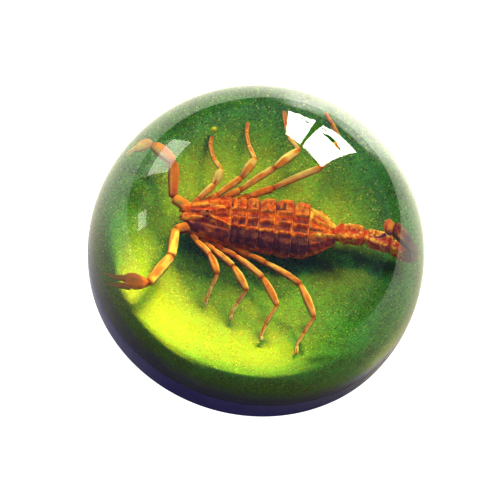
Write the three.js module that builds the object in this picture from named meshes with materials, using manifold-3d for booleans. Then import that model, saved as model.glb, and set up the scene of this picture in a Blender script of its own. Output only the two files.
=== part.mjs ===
// A scorpion sealed in a clear resin dome, standing over a glitter layer on a dark base.
// Millimetres, +Z up. The flat base rests on Z = 0, the dome's axis is the Z axis, and the
// scorpion's head points along -X with its right side towards +Y.
import * as THREE from 'three';
import { mergeVertices } from 'three/addons/utils/BufferGeometryUtils.js';
import Module from 'manifold-3d';

const wasm = await Module();
wasm.setup();

// ---- Driving dimensions: the dome ----
const BALL_RADIUS = 35; // the dome is a ball of this radius, cut flat below its middle
const BALL_CENTRE = 6.5; // height of the ball's centre above the flat base
const BASE_EDGE = 0.4; // bevel round the flat base
const BASE_TOP = 6.5; // top of the dark base layer
const GLITTER_TOP = 7; // top of the glitter layer, where the clear resin starts
const PART_LINE = 10.5; // height where the two clear halves meet
const POCKET_RADIUS = 31; // round pocket that the scorpion lies in
const POCKET_FLOOR = 7.4;
const POCKET_SHOULDER = 15; // where the pocket's wall starts to lean in
const POCKET_ROOF = 19.6;
const POCKET_ROOF_RADIUS = 26;
const DOME_SIDES = 56;
const DOME_BAND = 8; // one band of the dome's wall, in degrees of arc

// ---- Driving dimensions: the scorpion's trunk ----
const MIDLINE = 2.1; // the trunk's centre plane, in Y
const CREST = 10.7; // height of the trunk's widest line
const SNOUT = -11.5; // front edge of the head shield
const SHIELD_END = -4.8; // back edge of the head shield
const PLATE_ENDS = [-3.8, -2.5, -0.7, 1.7, 4.3, 6.8]; // back edges of the six full back plates
const TRUNK_END = 10.9; // tip of the last, tapering back plate
const PLATE_STEP = 0.93; // each plate starts this much narrower than it ends
const TRUNK_SIDES = 24;
const KEEL_HEIGHT = 0.22; // the three lengthwise ridges of the back
// Along X: half width, rise of the back and drop of the belly from the widest line.
const TRUNK_OUTLINE = [
  [-11.5, 1.5, 1.1, 0.9],
  [-10.6, 2.0, 1.5, 1.3],
  [-8, 2.7, 1.9, 1.6],
  [-5.6, 3.3, 2.1, 1.8],
  [-0.7, 4.0, 2.2, 2.0],
  [4, 4.4, 2.2, 2.1],
  [6.8, 4.1, 2.0, 1.9],
  [8.6, 3.1, 1.5, 1.5],
  [10.9, 1.2, 0.9, 0.9],
];

// ---- Driving dimensions: the limbs ----
// Each leg is the run of its joints, from the hip under the head shield to the claw's tip.
const RIGHT_LEGS = [
  [[-9.4, 3.8, 9.6], [-8.8, 5.6, 10.6], [-7.2, 7.6, 11.5], [-6.4, 9.7, 12], [-7.4, 11.7, 10.9],
    [-7.6, 14, 9.2], [-7, 15.6, 7.8]],
  [[-8, 4.2, 9.6], [-6.6, 6.3, 10.6], [-3.5, 9.2, 11.7], [-1.7, 11.7, 12.2], [-2.4, 14.2, 10.4],
    [-2.5, 16.2, 9], [-2.4, 18, 7.8]],
  [[-6.6, 4.6, 9.6], [-4, 7, 10.8], [0.9, 10.4, 12.6], [4.3, 13.6, 12.8], [3.1, 15.8, 10.6],
    [2.6, 18, 9.1], [2.1, 20, 7.8]],
  [[-5.2, 5, 9.6], [-1, 7.5, 10.4], [0.9, 8.3, 11], [7.2, 11.2, 13], [10, 14.8, 12.5],
    [9.3, 17.4, 10.4], [7.6, 20.2, 7.8]],
];
const LEFT_LEGS = [
  [[-9.4, 0.6, 9.6], [-8.9, -1.7, 10.6], [-7.4, -3.9, 11.5], [-6.4, -7.2, 11.6],
    [-6.7, -8.9, 9.9], [-7, -9.9, 8.9], [-7.3, -10.8, 7.8]],
  [[-8, 0.1, 9.6], [-6.3, -3, 10.6], [-3.9, -5.7, 11.7], [-1.7, -9.3, 11.7], [-2.4, -11, 9.9],
    [-2.9, -12.1, 8.9], [-3.3, -13.1, 7.8]],
  [[-6.6, -0.2, 9.6], [-4.2, -3.2, 10.7], [0.5, -7.1, 12.4], [3, -11.5, 11.6], [1.9, -13.7, 9.6],
    [1.6, -14.9, 8.7], [1.5, -16.1, 7.8]],
  [[-5.2, -0.4, 9.6], [-1, -2.9, 10.3], [1, -4, 10.9], [6.3, -7.8, 12.7], [9.1, -13, 11.7],
    [7.8, -15.8, 9.4], [7.3, -18, 7.8]],
];
const LEG_WIDTHS = [0.75, 0.62, 0.62, 0.55, 0.36, 0.24]; // half depth of each leg segment
const LEG_FLATNESS = 0.72; // a leg is this much thinner than it is deep
const ARMS = [
  { joints: [[-10.2, 3.3, 10.3], [-12.7, 4.6, 11.3], [-13.2, 10.2, 12], [-16.9, 13.4, 12]],
    palm: [-22, 13.9, 11.7], tips: [[-25.2, 12.2, 11], [-25.4, 13.3, 11.3]] },
  { joints: [[-10.2, 0.9, 10.3], [-12.8, -0.5, 11.1], [-14.3, -5.3, 11.7], [-17.9, -11, 11.7]],
    palm: [-23.6, -12.3, 11.2], tips: [[-28.3, -10.5, 10.9], [-27.9, -12.1, 10.5]] },
];
const ARM_WIDTHS = [0.95, 0.85, 1.05]; // half depth of the three arm segments
const PALM_WIDTH = 1.3;
const FINGER_WIDTH = 0.42;
const JAWS = [{ side: 0.75 }, { side: -0.75 }];
const JAW_LENGTH = 2.2;

// ---- Driving dimensions: the tail ----
// Joints of the five tail rings and the poison bulb, which rise and curl back over the tail.
const TAIL_JOINTS = [[10.4, 2.3, 10.9], [14.9, 2.5, 11.2], [19.9, 1.6, 11.6], [23.8, 0.2, 12.1],
  [26.6, -0.5, 15], [22.2, 1.9, 17.4]];
const TAIL_WIDTHS = [1.45, 1.35, 1.3, 1.2, 1.15];
const TAIL_SIDES = 8;
const BULB_END = [18.7, 1.8, 17];
const BULB_WIDTH = 1.15;
const STING = [[18.9, 1.8, 17], [17.6, 1.5, 16.3], [17.1, 1.3, 15]];
const STING_WIDTH = 0.4;

// ---- Shape of one limb segment: fraction of its length, fraction of its width ----
const LIMB_PROFILE = [[0, 0], [0.03, 0.62], [0.22, 0.86], [0.75, 1], [0.97, 0.78], [1, 0]];
const RING_PROFILE = [[0, 0], [0.02, 0.62], [0.14, 0.9], [0.5, 1], [0.86, 1.02], [0.98, 0.72], [1, 0]];
const PALM_PROFILE = [[0, 0], [0.03, 0.45], [0.25, 0.88], [0.48, 1], [0.75, 0.78], [0.97, 0.45], [1, 0]];
const TAPER_PROFILE = [[0, 0], [0.02, 0.9], [0.4, 1], [0.8, 0.6], [1, 0]];
const LIMB_SIDES = 6;
const ROUND_SIDES = 10;
const OVERLAP = 0.25; // how far a segment reaches into the next one

const UP = new THREE.Vector3(0, 0, 1);

/** The point list as a vector. */
function vector(point) {
  return new THREE.Vector3(...point);
}

/** A closed geometry as a solid that can be joined. */
function solidOf(geometry) {
  const bare = geometry.clone();
  bare.deleteAttribute('normal');
  bare.deleteAttribute('uv');
  const merged = mergeVertices(bare, 1e-5);
  return new wasm.Manifold(new wasm.Mesh({
    numProp: 3,
    vertProperties: Float32Array.from(merged.attributes.position.array),
    triVerts: Uint32Array.from(withoutSlivers(merged.index.array)),
  }));
}

/** The triangle list without the flat triangles that a turned profile has on its axis. */
function withoutSlivers(index) {
  const kept = [];
  for (let i = 0; i < index.length; i += 3) {
    const [a, b, c] = [index[i], index[i + 1], index[i + 2]];
    if (a !== b && b !== c && c !== a) kept.push(a, b, c);
  }
  return kept;
}

/** A joined solid back as a geometry. */
function geometryOf(solid) {
  const mesh = solid.getMesh();
  const geometry = new THREE.BufferGeometry();
  geometry.setAttribute('position', new THREE.BufferAttribute(mesh.vertProperties, 3));
  geometry.setIndex(new THREE.BufferAttribute(mesh.triVerts, 1));
  geometry.computeVertexNormals();
  return geometry;
}

/** A profile of [height, radius] pairs turned about the Z axis. */
function turned(profile, sides) {
  const points = profile.map(([height, radius]) => new THREE.Vector2(radius, height));
  return new THREE.LatheGeometry(points, sides).rotateX(Math.PI / 2);
}

/** [height, radius] pairs along the ball's outside from one height to another. */
function ballArc(low, high) {
  const from = Math.asin((low - BALL_CENTRE) / BALL_RADIUS);
  const to = Math.asin((high - BALL_CENTRE) / BALL_RADIUS);
  const steps = Math.max(1, Math.round(THREE.MathUtils.radToDeg(to - from) / DOME_BAND));
  return Array.from({ length: steps + 1 }, (_, i) => {
    const angle = from + ((to - from) * i) / steps;
    const radius = i === steps && high === BALL_CENTRE + BALL_RADIUS ? 0 : BALL_RADIUS * Math.cos(angle);
    return [BALL_CENTRE + BALL_RADIUS * Math.sin(angle), radius];
  });
}

/** The dark layer that the dome rests on, with its lower edge bevelled. */
function baseLayer() {
  const [, ...wall] = ballArc(0, BASE_TOP);
  const foot = ballArc(0, BASE_TOP)[0][1];
  return turned([[0, 0], [0, foot - BASE_EDGE], [BASE_EDGE, foot + 0.08], ...wall, [BASE_TOP, 0]], DOME_SIDES);
}

/** The thin glitter layer on top of the base. */
function glitterLayer() {
  return turned([[BASE_TOP, 0], ...ballArc(BASE_TOP, GLITTER_TOP), [GLITTER_TOP, 0]], DOME_SIDES);
}

/** The lower clear half: a thin floor and the wall round the pocket. */
function lowerHalf() {
  return turned([[GLITTER_TOP, 0], ...ballArc(GLITTER_TOP, PART_LINE),
    [PART_LINE, POCKET_RADIUS], [POCKET_FLOOR, POCKET_RADIUS], [POCKET_FLOOR, 0]], DOME_SIDES);
}

/** The upper clear half: the dome with the pocket's upper part in its underside. */
function upperHalf() {
  return turned([[POCKET_ROOF, 0], [POCKET_ROOF, POCKET_ROOF_RADIUS], [POCKET_SHOULDER, POCKET_RADIUS],
    [PART_LINE, POCKET_RADIUS], ...ballArc(PART_LINE, BALL_CENTRE + BALL_RADIUS)], DOME_SIDES);
}

/** A spindle from one point to another: its profile turned, flattened sideways and laid along. */
function spindle(from, to, halfDepth, { flat = 1, profile = LIMB_PROFILE, sides = LIMB_SIDES } = {}) {
  const start = vector(from);
  const along = vector(to).sub(start);
  const length = along.length() + 2 * OVERLAP;
  along.normalize();
  start.addScaledVector(along, -OVERLAP);
  const across = new THREE.Vector3().crossVectors(UP, along).normalize();
  const over = new THREE.Vector3().crossVectors(along, across);
  const rows = profile.map(([share, width]) => [share * length, width * halfDepth]);
  const geometry = turned(rows, sides).rotateZ(Math.PI / sides).scale(flat, 1, 1);
  const place = new THREE.Matrix4().makeBasis(across, over, along).setPosition(start);
  return solidOf(geometry.applyMatrix4(place));
}

/** Value of an outline column at x, straight between its rows. */
function outlineAt(x, column) {
  const next = Math.max(1, TRUNK_OUTLINE.findIndex((row) => row[0] >= x));
  const [before, after] = [TRUNK_OUTLINE[next - 1], TRUNK_OUTLINE[next]];
  const share = THREE.MathUtils.clamp((x - before[0]) / (after[0] - before[0]), 0, 1);
  return THREE.MathUtils.lerp(before[column], after[column], share);
}

/** The head shield and the stepped back plates as one turned form, then shaped to its outline. */
function trunk() {
  const starts = [SHIELD_END, ...PLATE_ENDS];
  const ends = [...PLATE_ENDS, TRUNK_END];
  const plates = starts.flatMap((start, i) => [[start + 0.06, PLATE_STEP], [ends[i], 1]]);
  const profile = [[SNOUT, 0], [SNOUT + 0.05, 0.85], [SNOUT + 0.6, 1], [SHIELD_END, 1], ...plates,
    [TRUNK_END + 0.05, 0]];
  const geometry = turned(profile, TRUNK_SIDES);
  const position = geometry.attributes.position;
  for (let i = 0; i < position.count; i += 1) {
    const [side, height, x] = [position.getX(i), position.getY(i), position.getZ(i)];
    const at = THREE.MathUtils.clamp(x, SNOUT, TRUNK_END);
    const radius = Math.hypot(side, height);
    const turn = Math.atan2(height, side);
    const keel = height > 0.6 * radius && Math.abs(Math.sin(turn * 6)) < 0.1 ? KEEL_HEIGHT : 0;
    const wide = Math.sign(side) * Math.abs(Math.cos(turn)) ** 0.7;
    const high = Math.sign(height) * Math.abs(Math.sin(turn)) ** 0.85;
    const reach = height > 0 ? outlineAt(at, 2) : outlineAt(at, 3);
    position.setXYZ(i, x, MIDLINE + radius * wide * outlineAt(at, 1),
      CREST + radius * (high * reach + keel));
  }
  return solidOf(geometry);
}

/** The raised pair of eyes in the middle of the head shield. */
function eyes() {
  return spindle([-9, MIDLINE, 12.3], [-7.6, MIDLINE, 12.5], 0.5, { sides: ROUND_SIDES, flat: 1.2 });
}

/** One leg, from the hip to the tip of its claw. */
function leg(joints) {
  return LEG_WIDTHS.map((width, i) => spindle(joints[i], joints[i + 1], width, { flat: LEG_FLATNESS }));
}

/** One arm with its slender pincer. */
function arm({ joints, palm, tips }) {
  const round = { sides: ROUND_SIDES, flat: 0.85 };
  const wrist = joints.at(-1);
  const segments = ARM_WIDTHS.map((width, i) => spindle(joints[i], joints[i + 1], width, round));
  const hand = spindle(wrist, palm, PALM_WIDTH, { ...round, profile: PALM_PROFILE });
  const knuckle = vector(wrist).lerp(vector(palm), 0.8).toArray();
  const fingers = tips.map((tip) => spindle(knuckle, tip, FINGER_WIDTH * 1.6, { profile: TAPER_PROFILE }));
  return [...segments, hand, ...fingers];
}

/** The pair of small jaws in front of the head shield. */
function jaws() {
  return JAWS.map(({ side }) => spindle([SNOUT + 0.6, MIDLINE + side, 10.9],
    [SNOUT + 0.6 - JAW_LENGTH, MIDLINE + side * 0.9, 10.8], 0.62, { sides: ROUND_SIDES }));
}

/** The five tail rings, the poison bulb and its sting. */
function tail() {
  const ringShape = { profile: RING_PROFILE, sides: TAIL_SIDES, flat: 1.05 };
  const rings = TAIL_WIDTHS.map((width, i) => spindle(TAIL_JOINTS[i], TAIL_JOINTS[i + 1], width, ringShape));
  const bulb = spindle(TAIL_JOINTS.at(-1), BULB_END, BULB_WIDTH, { sides: ROUND_SIDES, profile: PALM_PROFILE });
  const sting = [0, 1].map((i) => spindle(STING[i], STING[i + 1], STING_WIDTH - i * 0.15,
    { profile: TAPER_PROFILE }));
  return [...rings, bulb, ...sting];
}

/** The whole animal joined into one solid. */
function scorpion() {
  const pieces = [trunk(), eyes(), ...jaws(), ...ARMS.flatMap(arm), ...tail(),
    ...RIGHT_LEGS.flatMap(leg), ...LEFT_LEGS.flatMap(leg)];
  return geometryOf(pieces.reduce((whole, piece) => whole.add(piece)));
}

/** A named mesh with a finish of its own. */
function piece(name, geometry, color, roughness, opacity = 1) {
  const material = new THREE.MeshStandardMaterial({
    color, roughness, metalness: 0, opacity, transparent: opacity < 1,
  });
  const mesh = new THREE.Mesh(geometry, material);
  mesh.name = name;
  return mesh;
}

const dome = new THREE.Group();
dome.add(
  piece('base_layer', baseLayer(), 0x26204c, 0.12),
  piece('glitter_layer', glitterLayer(), 0x3c8c28, 0.3),
  piece('resin_lower_half', lowerHalf(), 0xf4f8f0, 0.04, 0.25),
  piece('resin_upper_half', upperHalf(), 0xf4f8f0, 0.04, 0.25),
  piece('scorpion', scorpion(), 0xb05a1c, 0.35),
);

export default dome;
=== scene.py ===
"""Dresses a scorpion sealed in a clear resin dome that stands on a glitter layer and a dark base.

Lengths are written in millimetres and scaled by MM, because Blender's frame is in metres. The
dome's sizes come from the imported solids. The scorpion is laid out by the same joints as its solid:
head towards -X, right side towards +Y.
"""

import logging
import math
from collections.abc import Sequence
from dataclasses import dataclass, field, replace
from enum import Enum

import bpy
import numpy as np
from mathutils import Matrix, Vector


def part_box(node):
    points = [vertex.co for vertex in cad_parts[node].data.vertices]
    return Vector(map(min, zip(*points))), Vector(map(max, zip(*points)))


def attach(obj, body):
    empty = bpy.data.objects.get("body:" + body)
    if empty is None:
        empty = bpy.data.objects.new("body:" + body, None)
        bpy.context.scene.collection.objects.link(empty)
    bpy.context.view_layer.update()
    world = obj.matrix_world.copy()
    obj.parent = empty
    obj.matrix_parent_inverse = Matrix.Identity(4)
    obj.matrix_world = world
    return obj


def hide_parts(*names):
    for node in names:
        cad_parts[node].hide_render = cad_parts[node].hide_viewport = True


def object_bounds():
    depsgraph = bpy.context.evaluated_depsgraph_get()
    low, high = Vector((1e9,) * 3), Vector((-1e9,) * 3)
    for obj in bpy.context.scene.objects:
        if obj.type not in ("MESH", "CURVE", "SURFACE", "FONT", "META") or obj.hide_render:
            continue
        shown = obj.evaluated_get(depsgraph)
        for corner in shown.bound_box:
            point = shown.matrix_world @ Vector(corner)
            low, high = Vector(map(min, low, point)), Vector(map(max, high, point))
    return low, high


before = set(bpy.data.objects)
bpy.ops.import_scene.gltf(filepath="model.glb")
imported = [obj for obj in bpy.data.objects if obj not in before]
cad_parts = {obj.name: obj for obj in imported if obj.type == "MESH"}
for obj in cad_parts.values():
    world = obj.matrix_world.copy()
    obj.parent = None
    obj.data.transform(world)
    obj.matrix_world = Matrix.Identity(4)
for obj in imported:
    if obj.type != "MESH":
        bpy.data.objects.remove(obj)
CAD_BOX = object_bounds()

LOG = logging.getLogger("resin_dome")
MM = 0.001
BODY = "root"
UP = np.array([0.0, 0.0, 1.0])

CAST_CREASE = 60.0
SHELL_CREASE = 70.0
BLOTCH_DETAIL = 3.0
BLOTCH_ROUGHNESS = 0.6
AXIS_PRIMES = (73856093, 19349663, 83492791)
SEED_PRIME = 2654435761
MIX_STEPS = ((15, 2246822519), (13, 3266489917))
ALL_BITS = 0xFFFFFFFF
NO_TRIS = np.zeros((0, 3), dtype=int)

Array = np.ndarray
Point = tuple[float, float, float]
Point2 = tuple[float, float]
Colour = tuple[float, float, float]
Tone = tuple[float, float, float]
Object = bpy.types.Object
Material = bpy.types.Material
Node = bpy.types.Node
NodeTree = bpy.types.NodeTree
Socket = bpy.types.NodeSocket


class Slot(Enum):
    """Material slots of the record."""

    RESIN = "clear_resin"
    GLITTER = "glitter"
    BASE = "base_resin"
    SHELL = "shell"


# ---- Numbers ----


def smooth_step(low: float, high: float, value: Array) -> Array:
    """Rises from 0 at low to 1 at high along 3t^2 - 2t^3.

    Args:
        low: Where the rise starts.
        high: Where it ends.
        value: The numbers to map.

    Returns:
        One number from 0 to 1 for each value.
    """
    share = np.clip((value - low) / (high - low), 0.0, 1.0)
    return share * share * (3.0 - 2.0 * share)


def hump(value: Array, centre: float, width: float) -> Array:
    """A bell curve: exp(-((value - centre) / width)^2)."""
    return np.exp(-(((value - centre) / width) ** 2))


def plateau(value: Array, low: float, high: float, soft: float = 0.05) -> Array:
    """1 between low and high, falling to 0 within soft on either side."""
    return smooth_step(low - soft, low + soft, value) * smooth_step(high + soft, high - soft, value)


def power(value: Array, exponent: float) -> Array:
    """A power that keeps the sign: sign(v) |v|^exponent."""
    return np.sign(value) * np.abs(value) ** exponent


def lattice_noise(points: Array, cell: float, seed: int) -> Array:
    """Smooth noise: random numbers on a cubic lattice, blended inside each cell.

    Args:
        points: Points, one row of x, y, z each.
        cell: Side of a lattice cell, in the points' unit.
        seed: Picks the random numbers.

    Returns:
        One number from -1 to 1 for each point.
    """
    place = points / cell
    base = np.floor(place).astype(np.int64)
    blend = place - base
    blend = blend * blend * (3.0 - 2.0 * blend)
    total = np.zeros(points.shape[:-1])
    for corner in np.ndindex(2, 2, 2):
        knot = base + np.array(corner)
        along_x, along_y, along_z = (knot[..., axis] * prime for axis, prime in enumerate(AXIS_PRIMES))
        mixed = (along_x ^ along_y ^ along_z ^ seed * SEED_PRIME) & ALL_BITS
        for shift, prime in MIX_STEPS:
            mixed = (mixed ^ (mixed >> shift)) * prime & ALL_BITS
        share = np.prod(np.where(np.array(corner) == 1, blend, 1.0 - blend), axis=-1)
        total += share * (mixed / ALL_BITS)
    return 2.0 * total - 1.0


def grains(points: Array, cell: float, seed: int) -> Array:
    """Rounded grains: the positive part of lattice noise, sharpened, from 0 to 1."""
    return smooth_step(0.05, 0.75, lattice_noise(points, cell, seed))


def unit(vectors: Array) -> Array:
    """The vectors scaled to length 1."""
    return vectors / np.maximum(np.linalg.norm(vectors, axis=-1, keepdims=True), 1e-12)


def eased(rows: int) -> Array:
    """Shares from 0 to 1 that lie closer together at both ends: 0.5 - 0.5 cos(pi t)."""
    return 0.5 - 0.5 * np.cos(np.linspace(0.0, math.pi, rows))


def circle_angles(sides: int) -> Array:
    """Evenly spaced angles once round a circle."""
    return np.linspace(0.0, 2 * math.pi, sides, endpoint=False)


# ---- Surfaces ----


@dataclass
class Skin:
    """A surface being built, in millimetres.

    Attributes:
        points: One row of x, y, z for each vertex.
        quads: Four vertex numbers for each quad.
        tris: Three vertex numbers for each triangle.
        tones: Dark, pale and warm share of the colour for each vertex, each from 0 to 1.
    """

    points: Array
    quads: Array
    tris: Array
    tones: Array

    @staticmethod
    def joined(parts: list["Skin"]) -> "Skin":
        """All parts as one surface, each with its own vertices.

        Args:
            parts: The surfaces.

        Returns:
            One surface.
        """
        offsets = np.cumsum([0] + [len(part.points) for part in parts])
        return Skin(
            np.concatenate([part.points for part in parts]),
            np.concatenate([part.quads + start for part, start in zip(parts, offsets)]),
            np.concatenate([part.tris + start for part, start in zip(parts, offsets)]),
            np.concatenate([part.tones for part in parts]),
        )

    def to_object(self, name: str, material: Material, crease: float = 50.0) -> Object:
        """Puts the surface into a Blender object at the origin.

        Args:
            name: The object's name.
            material: Its finish.
            crease: Edges that turn by more degrees than this stay sharp.

        Returns:
            The object, linked to the scene.
        """
        mesh = bpy.data.meshes.new(name)
        mesh.vertices.add(len(self.points))
        mesh.vertices.foreach_set("co", (self.points * MM).astype(np.float32).ravel())
        corners = np.concatenate([self.quads.ravel(), self.tris.ravel()]).astype(np.int32)
        sizes = np.concatenate([np.full(len(self.quads), 4), np.full(len(self.tris), 3)])
        mesh.loops.add(len(corners))
        mesh.loops.foreach_set("vertex_index", corners)
        mesh.polygons.add(len(sizes))
        starts = np.concatenate([[0], np.cumsum(sizes)[:-1]]).astype(np.int32)
        mesh.polygons.foreach_set("loop_start", starts)
        mesh.polygons.foreach_set("use_smooth", np.ones(len(sizes), dtype=bool))
        mesh.update(calc_edges=True)
        mesh.set_sharp_from_angle(angle=math.radians(crease))
        layer = mesh.attributes.new("tone", "FLOAT_COLOR", "POINT")
        colours = np.concatenate([self.tones, np.ones((len(self.tones), 1))], axis=1)
        layer.data.foreach_set("color", colours.astype(np.float32).ravel())
        mesh.materials.append(material)
        mesh.validate()
        shown = bpy.data.objects.new(name, mesh)
        bpy.context.scene.collection.objects.link(shown)
        return shown


def wrapped_quads(rows: int, columns: int) -> Array:
    """Quads of a grid whose last column joins its first, wound so that columns x rows faces out.

    Args:
        rows: Rows of the grid.
        columns: Columns of the grid.

    Returns:
        Four vertex numbers for each quad.
    """
    row = np.arange(rows - 1)[:, None]
    column = np.arange(columns)[None, :]
    here = row * columns + column
    beside = row * columns + (column + 1) % columns
    return np.stack([here, beside, beside + columns, here + columns], axis=-1).reshape(-1, 4)


def closed_rings(rings: Array, tones: Array) -> Skin:
    """A tube of rings closed by a pole at each end, the pole being its ring's middle.

    Args:
        rings: Points, as rows x columns x 3, the columns turning from left over the top.
        tones: Tones, as rows x columns x 3.

    Returns:
        The closed surface.
    """
    rows, columns = rings.shape[:2]
    first, last = rings[0].mean(axis=0), rings[-1].mean(axis=0)
    points = np.concatenate([rings.reshape(-1, 3), first[None], last[None]])
    shades = np.concatenate([tones.reshape(-1, 3), tones[0, :1], tones[-1, :1]])
    column = np.arange(columns)
    beside = (column + 1) % columns
    end = (rows - 1) * columns
    pole = rows * columns
    start_fan = np.stack([beside, column, np.full(columns, pole)], axis=-1)
    end_fan = np.stack([end + column, end + beside, np.full(columns, pole + 1)], axis=-1)
    return Skin(points, wrapped_quads(rows, columns), np.concatenate([start_fan, end_fan]), shades)


def turned(profile: Array, sides: int) -> Skin:
    """A profile of height and radius turned about the Z axis, closed at its first and last row.

    Args:
        profile: Height and radius of each row, from the bottom up.
        sides: Columns round the axis.

    Returns:
        The closed surface.
    """
    angle = circle_angles(sides)
    circle = np.stack([np.cos(angle), np.sin(angle)], axis=-1)
    flat = profile[:, 1][:, None, None] * circle[None]
    height = np.broadcast_to(profile[:, 0][:, None, None], (len(profile), sides, 1))
    rings = np.concatenate([flat, height], axis=-1)
    return closed_rings(rings, np.zeros_like(rings))


def frames_along(path: Array) -> tuple[Array, Array]:
    """The sideways and the upward direction at each point of a path.

    Args:
        path: Points of the path.

    Returns:
        Unit vectors to the side, and unit vectors upwards, across the path.
    """
    along = unit(np.gradient(path, axis=0))
    across = unit(np.cross(UP, along))
    return across, np.cross(along, across)


def bowed_path(start: Array, end: Array, bow: float, rows: int) -> Array:
    """Points from start to end, closer together at both ends, lifted by bow x sin(pi t).

    Args:
        start: First point.
        end: Last point.
        bow: Height of the middle above the straight line, in millimetres.
        rows: How many points.

    Returns:
        The points.
    """
    share = eased(rows)
    straight = start + (end - start) * share[:, None]
    along = unit(end - start)
    over = np.cross(along, unit(np.cross(UP, along)))
    return straight + over * (bow * np.sin(math.pi * share))[:, None]


def curved_path(start: Array, bend: Array, end: Array, rows: int) -> Array:
    """A quadratic curve from start to end, pulled towards bend."""
    share = eased(rows)[:, None]
    return start * (1 - share) ** 2 + bend * 2 * share * (1 - share) + end * share**2


def end_rounding(rows: int, first: float, last: float) -> Array:
    """Quarter-circle rounding of both ends of a path, as shares of its length.

    Args:
        rows: Rows of the path, spaced as eased spaces them.
        first: Share of the length that the first end is rounded over.
        last: Share for the last end.

    Returns:
        A factor from near 0 at the ends to 1 in the middle for each row.
    """
    share = eased(rows)
    front = np.clip(share / first, 0.0, 1.0)
    back = np.clip((1.0 - share) / last, 0.0, 1.0)
    return np.sqrt(1 - (1 - front) ** 2) * np.sqrt(1 - (1 - back) ** 2) + 0.02


def stacked(*parts: Array) -> Array:
    """Arrays of numbers spread to one shape and set side by side along a new last axis."""
    return np.stack(np.broadcast_arrays(*parts), axis=-1)


def carried(path: Array, side: Array, rise: Array) -> Array:
    """A section carried along a path: each ring's points are path + side x across + rise x over.

    Args:
        path: One point for each row.
        side: Sideways place of each point, as rows x columns.
        rise: Upward place of each point, as rows x columns.

    Returns:
        Points, as rows x columns x 3.
    """
    across, over = frames_along(path)
    return path[:, None] + side[..., None] * across[:, None] + rise[..., None] * over[:, None]


# ---- Materials ----


@dataclass
class NodeBoard:
    """A node tree with short calls that add and wire nodes."""

    tree: NodeTree

    def node(self, kind: str, inputs: dict | None = None, **settings: object) -> Node:
        """Adds a node.

        Args:
            kind: The node's type, such as ShaderNodeMath.
            inputs: A value or a socket to wire from for each input name or number.
            **settings: Properties of the node itself.

        Returns:
            The new node.
        """
        made = self.tree.nodes.new(kind)
        for key, value in settings.items():
            setattr(made, key, value)
        self.feed(made, inputs or {})
        return made

    def feed(self, made: Node, inputs: dict) -> None:
        """Sets or wires a node's inputs.

        Args:
            made: The node.
            inputs: A value or a socket to wire from for each input name or number.
        """
        for key, value in inputs.items():
            if isinstance(value, Socket):
                self.tree.links.new(value, made.inputs[key])
            else:
                made.inputs[key].default_value = value

    def maths(self, operation: str, *values: object) -> Socket:
        """A Math node's result."""
        return self.node("ShaderNodeMath", dict(enumerate(values)), operation=operation).outputs[0]

    def mix(self, share: object, low: object, high: object) -> Socket:
        """The colour that lies the given share of the way from low to high."""
        inputs = {"Factor": share, 6: low, 7: high}
        return self.node("ShaderNodeMix", inputs, data_type="RGBA").outputs[2]

    def ramp(self, value: object, stops: tuple[tuple[float, Colour], ...]) -> Socket:
        """A colour ramp's colour for a value.

        Args:
            value: Where on the ramp to read, from 0 to 1.
            stops: Positions with their colours.

        Returns:
            The colour.
        """
        made = self.node("ShaderNodeValToRGB", {"Fac": value})
        elements = made.color_ramp.elements
        while len(elements) < len(stops):
            elements.new(0.5)
        for element, (position, colour) in zip(elements, stops):
            element.position = position
            element.color = rgba(colour)
        return made.outputs["Color"]

    def range(self, value: object, low: float, high: float, new_low: float = 0.0,
              new_high: float = 1.0) -> Socket:
        """Value carried from low..high to new_low..new_high, clamped."""
        inputs = {"Value": value, "From Min": low, "From Max": high, "To Min": new_low, "To Max": new_high}
        return self.node("ShaderNodeMapRange", inputs).outputs["Result"]

    def length(self, vector: object) -> Socket:
        """A vector's length."""
        return self.node("ShaderNodeVectorMath", {0: vector}, operation="LENGTH").outputs["Value"]

    def dot(self, vector: object, direction: object) -> Socket:
        """The dot product of two vectors."""
        inputs = {0: vector, 1: direction}
        return self.node("ShaderNodeVectorMath", inputs, operation="DOT_PRODUCT").outputs["Value"]

    def mirrored_ray(self) -> Socket:
        """1 for a ray that a surface mirrors, and 0 for one that passed through the resin."""
        light = self.node("ShaderNodeLightPath").outputs
        outside = self.maths("SUBTRACT", 1.0, light["Is Transmission Ray"])
        return self.maths("MULTIPLY", light["Is Glossy Ray"], outside)


def rgba(colour: Colour) -> tuple[float, float, float, float]:
    """The colour with full opacity."""
    return (*colour, 1.0)


def new_material(name: str) -> tuple[Material, NodeBoard, Node, Node]:
    """A new material whose Principled shader is wired to its output.

    Args:
        name: The material's name.

    Returns:
        The material, its board, its shader and its output node.
    """
    material = bpy.data.materials.new(name)
    material.use_nodes = True
    material.node_tree.nodes.clear()
    board = NodeBoard(material.node_tree)
    shader = board.node("ShaderNodeBsdfPrincipled")
    output = board.node("ShaderNodeOutputMaterial", {"Surface": shader.outputs["BSDF"]})
    return material, board, shader, output


def shader_group(name: str, inputs: dict[str, float], outputs: list[str]) -> NodeTree:
    """A shader node group with float inputs and outputs and no nodes yet.

    Args:
        name: The group's name.
        inputs: Input names with their default values.
        outputs: Output names.

    Returns:
        The group.
    """
    group = bpy.data.node_groups.new(name, "ShaderNodeTree")
    for title, value in inputs.items():
        made = group.interface.new_socket(title, in_out="INPUT", socket_type="NodeSocketFloat")
        made.default_value = value
    for title in outputs:
        group.interface.new_socket(title, in_out="OUTPUT", socket_type="NodeSocketFloat")
    return group


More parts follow.
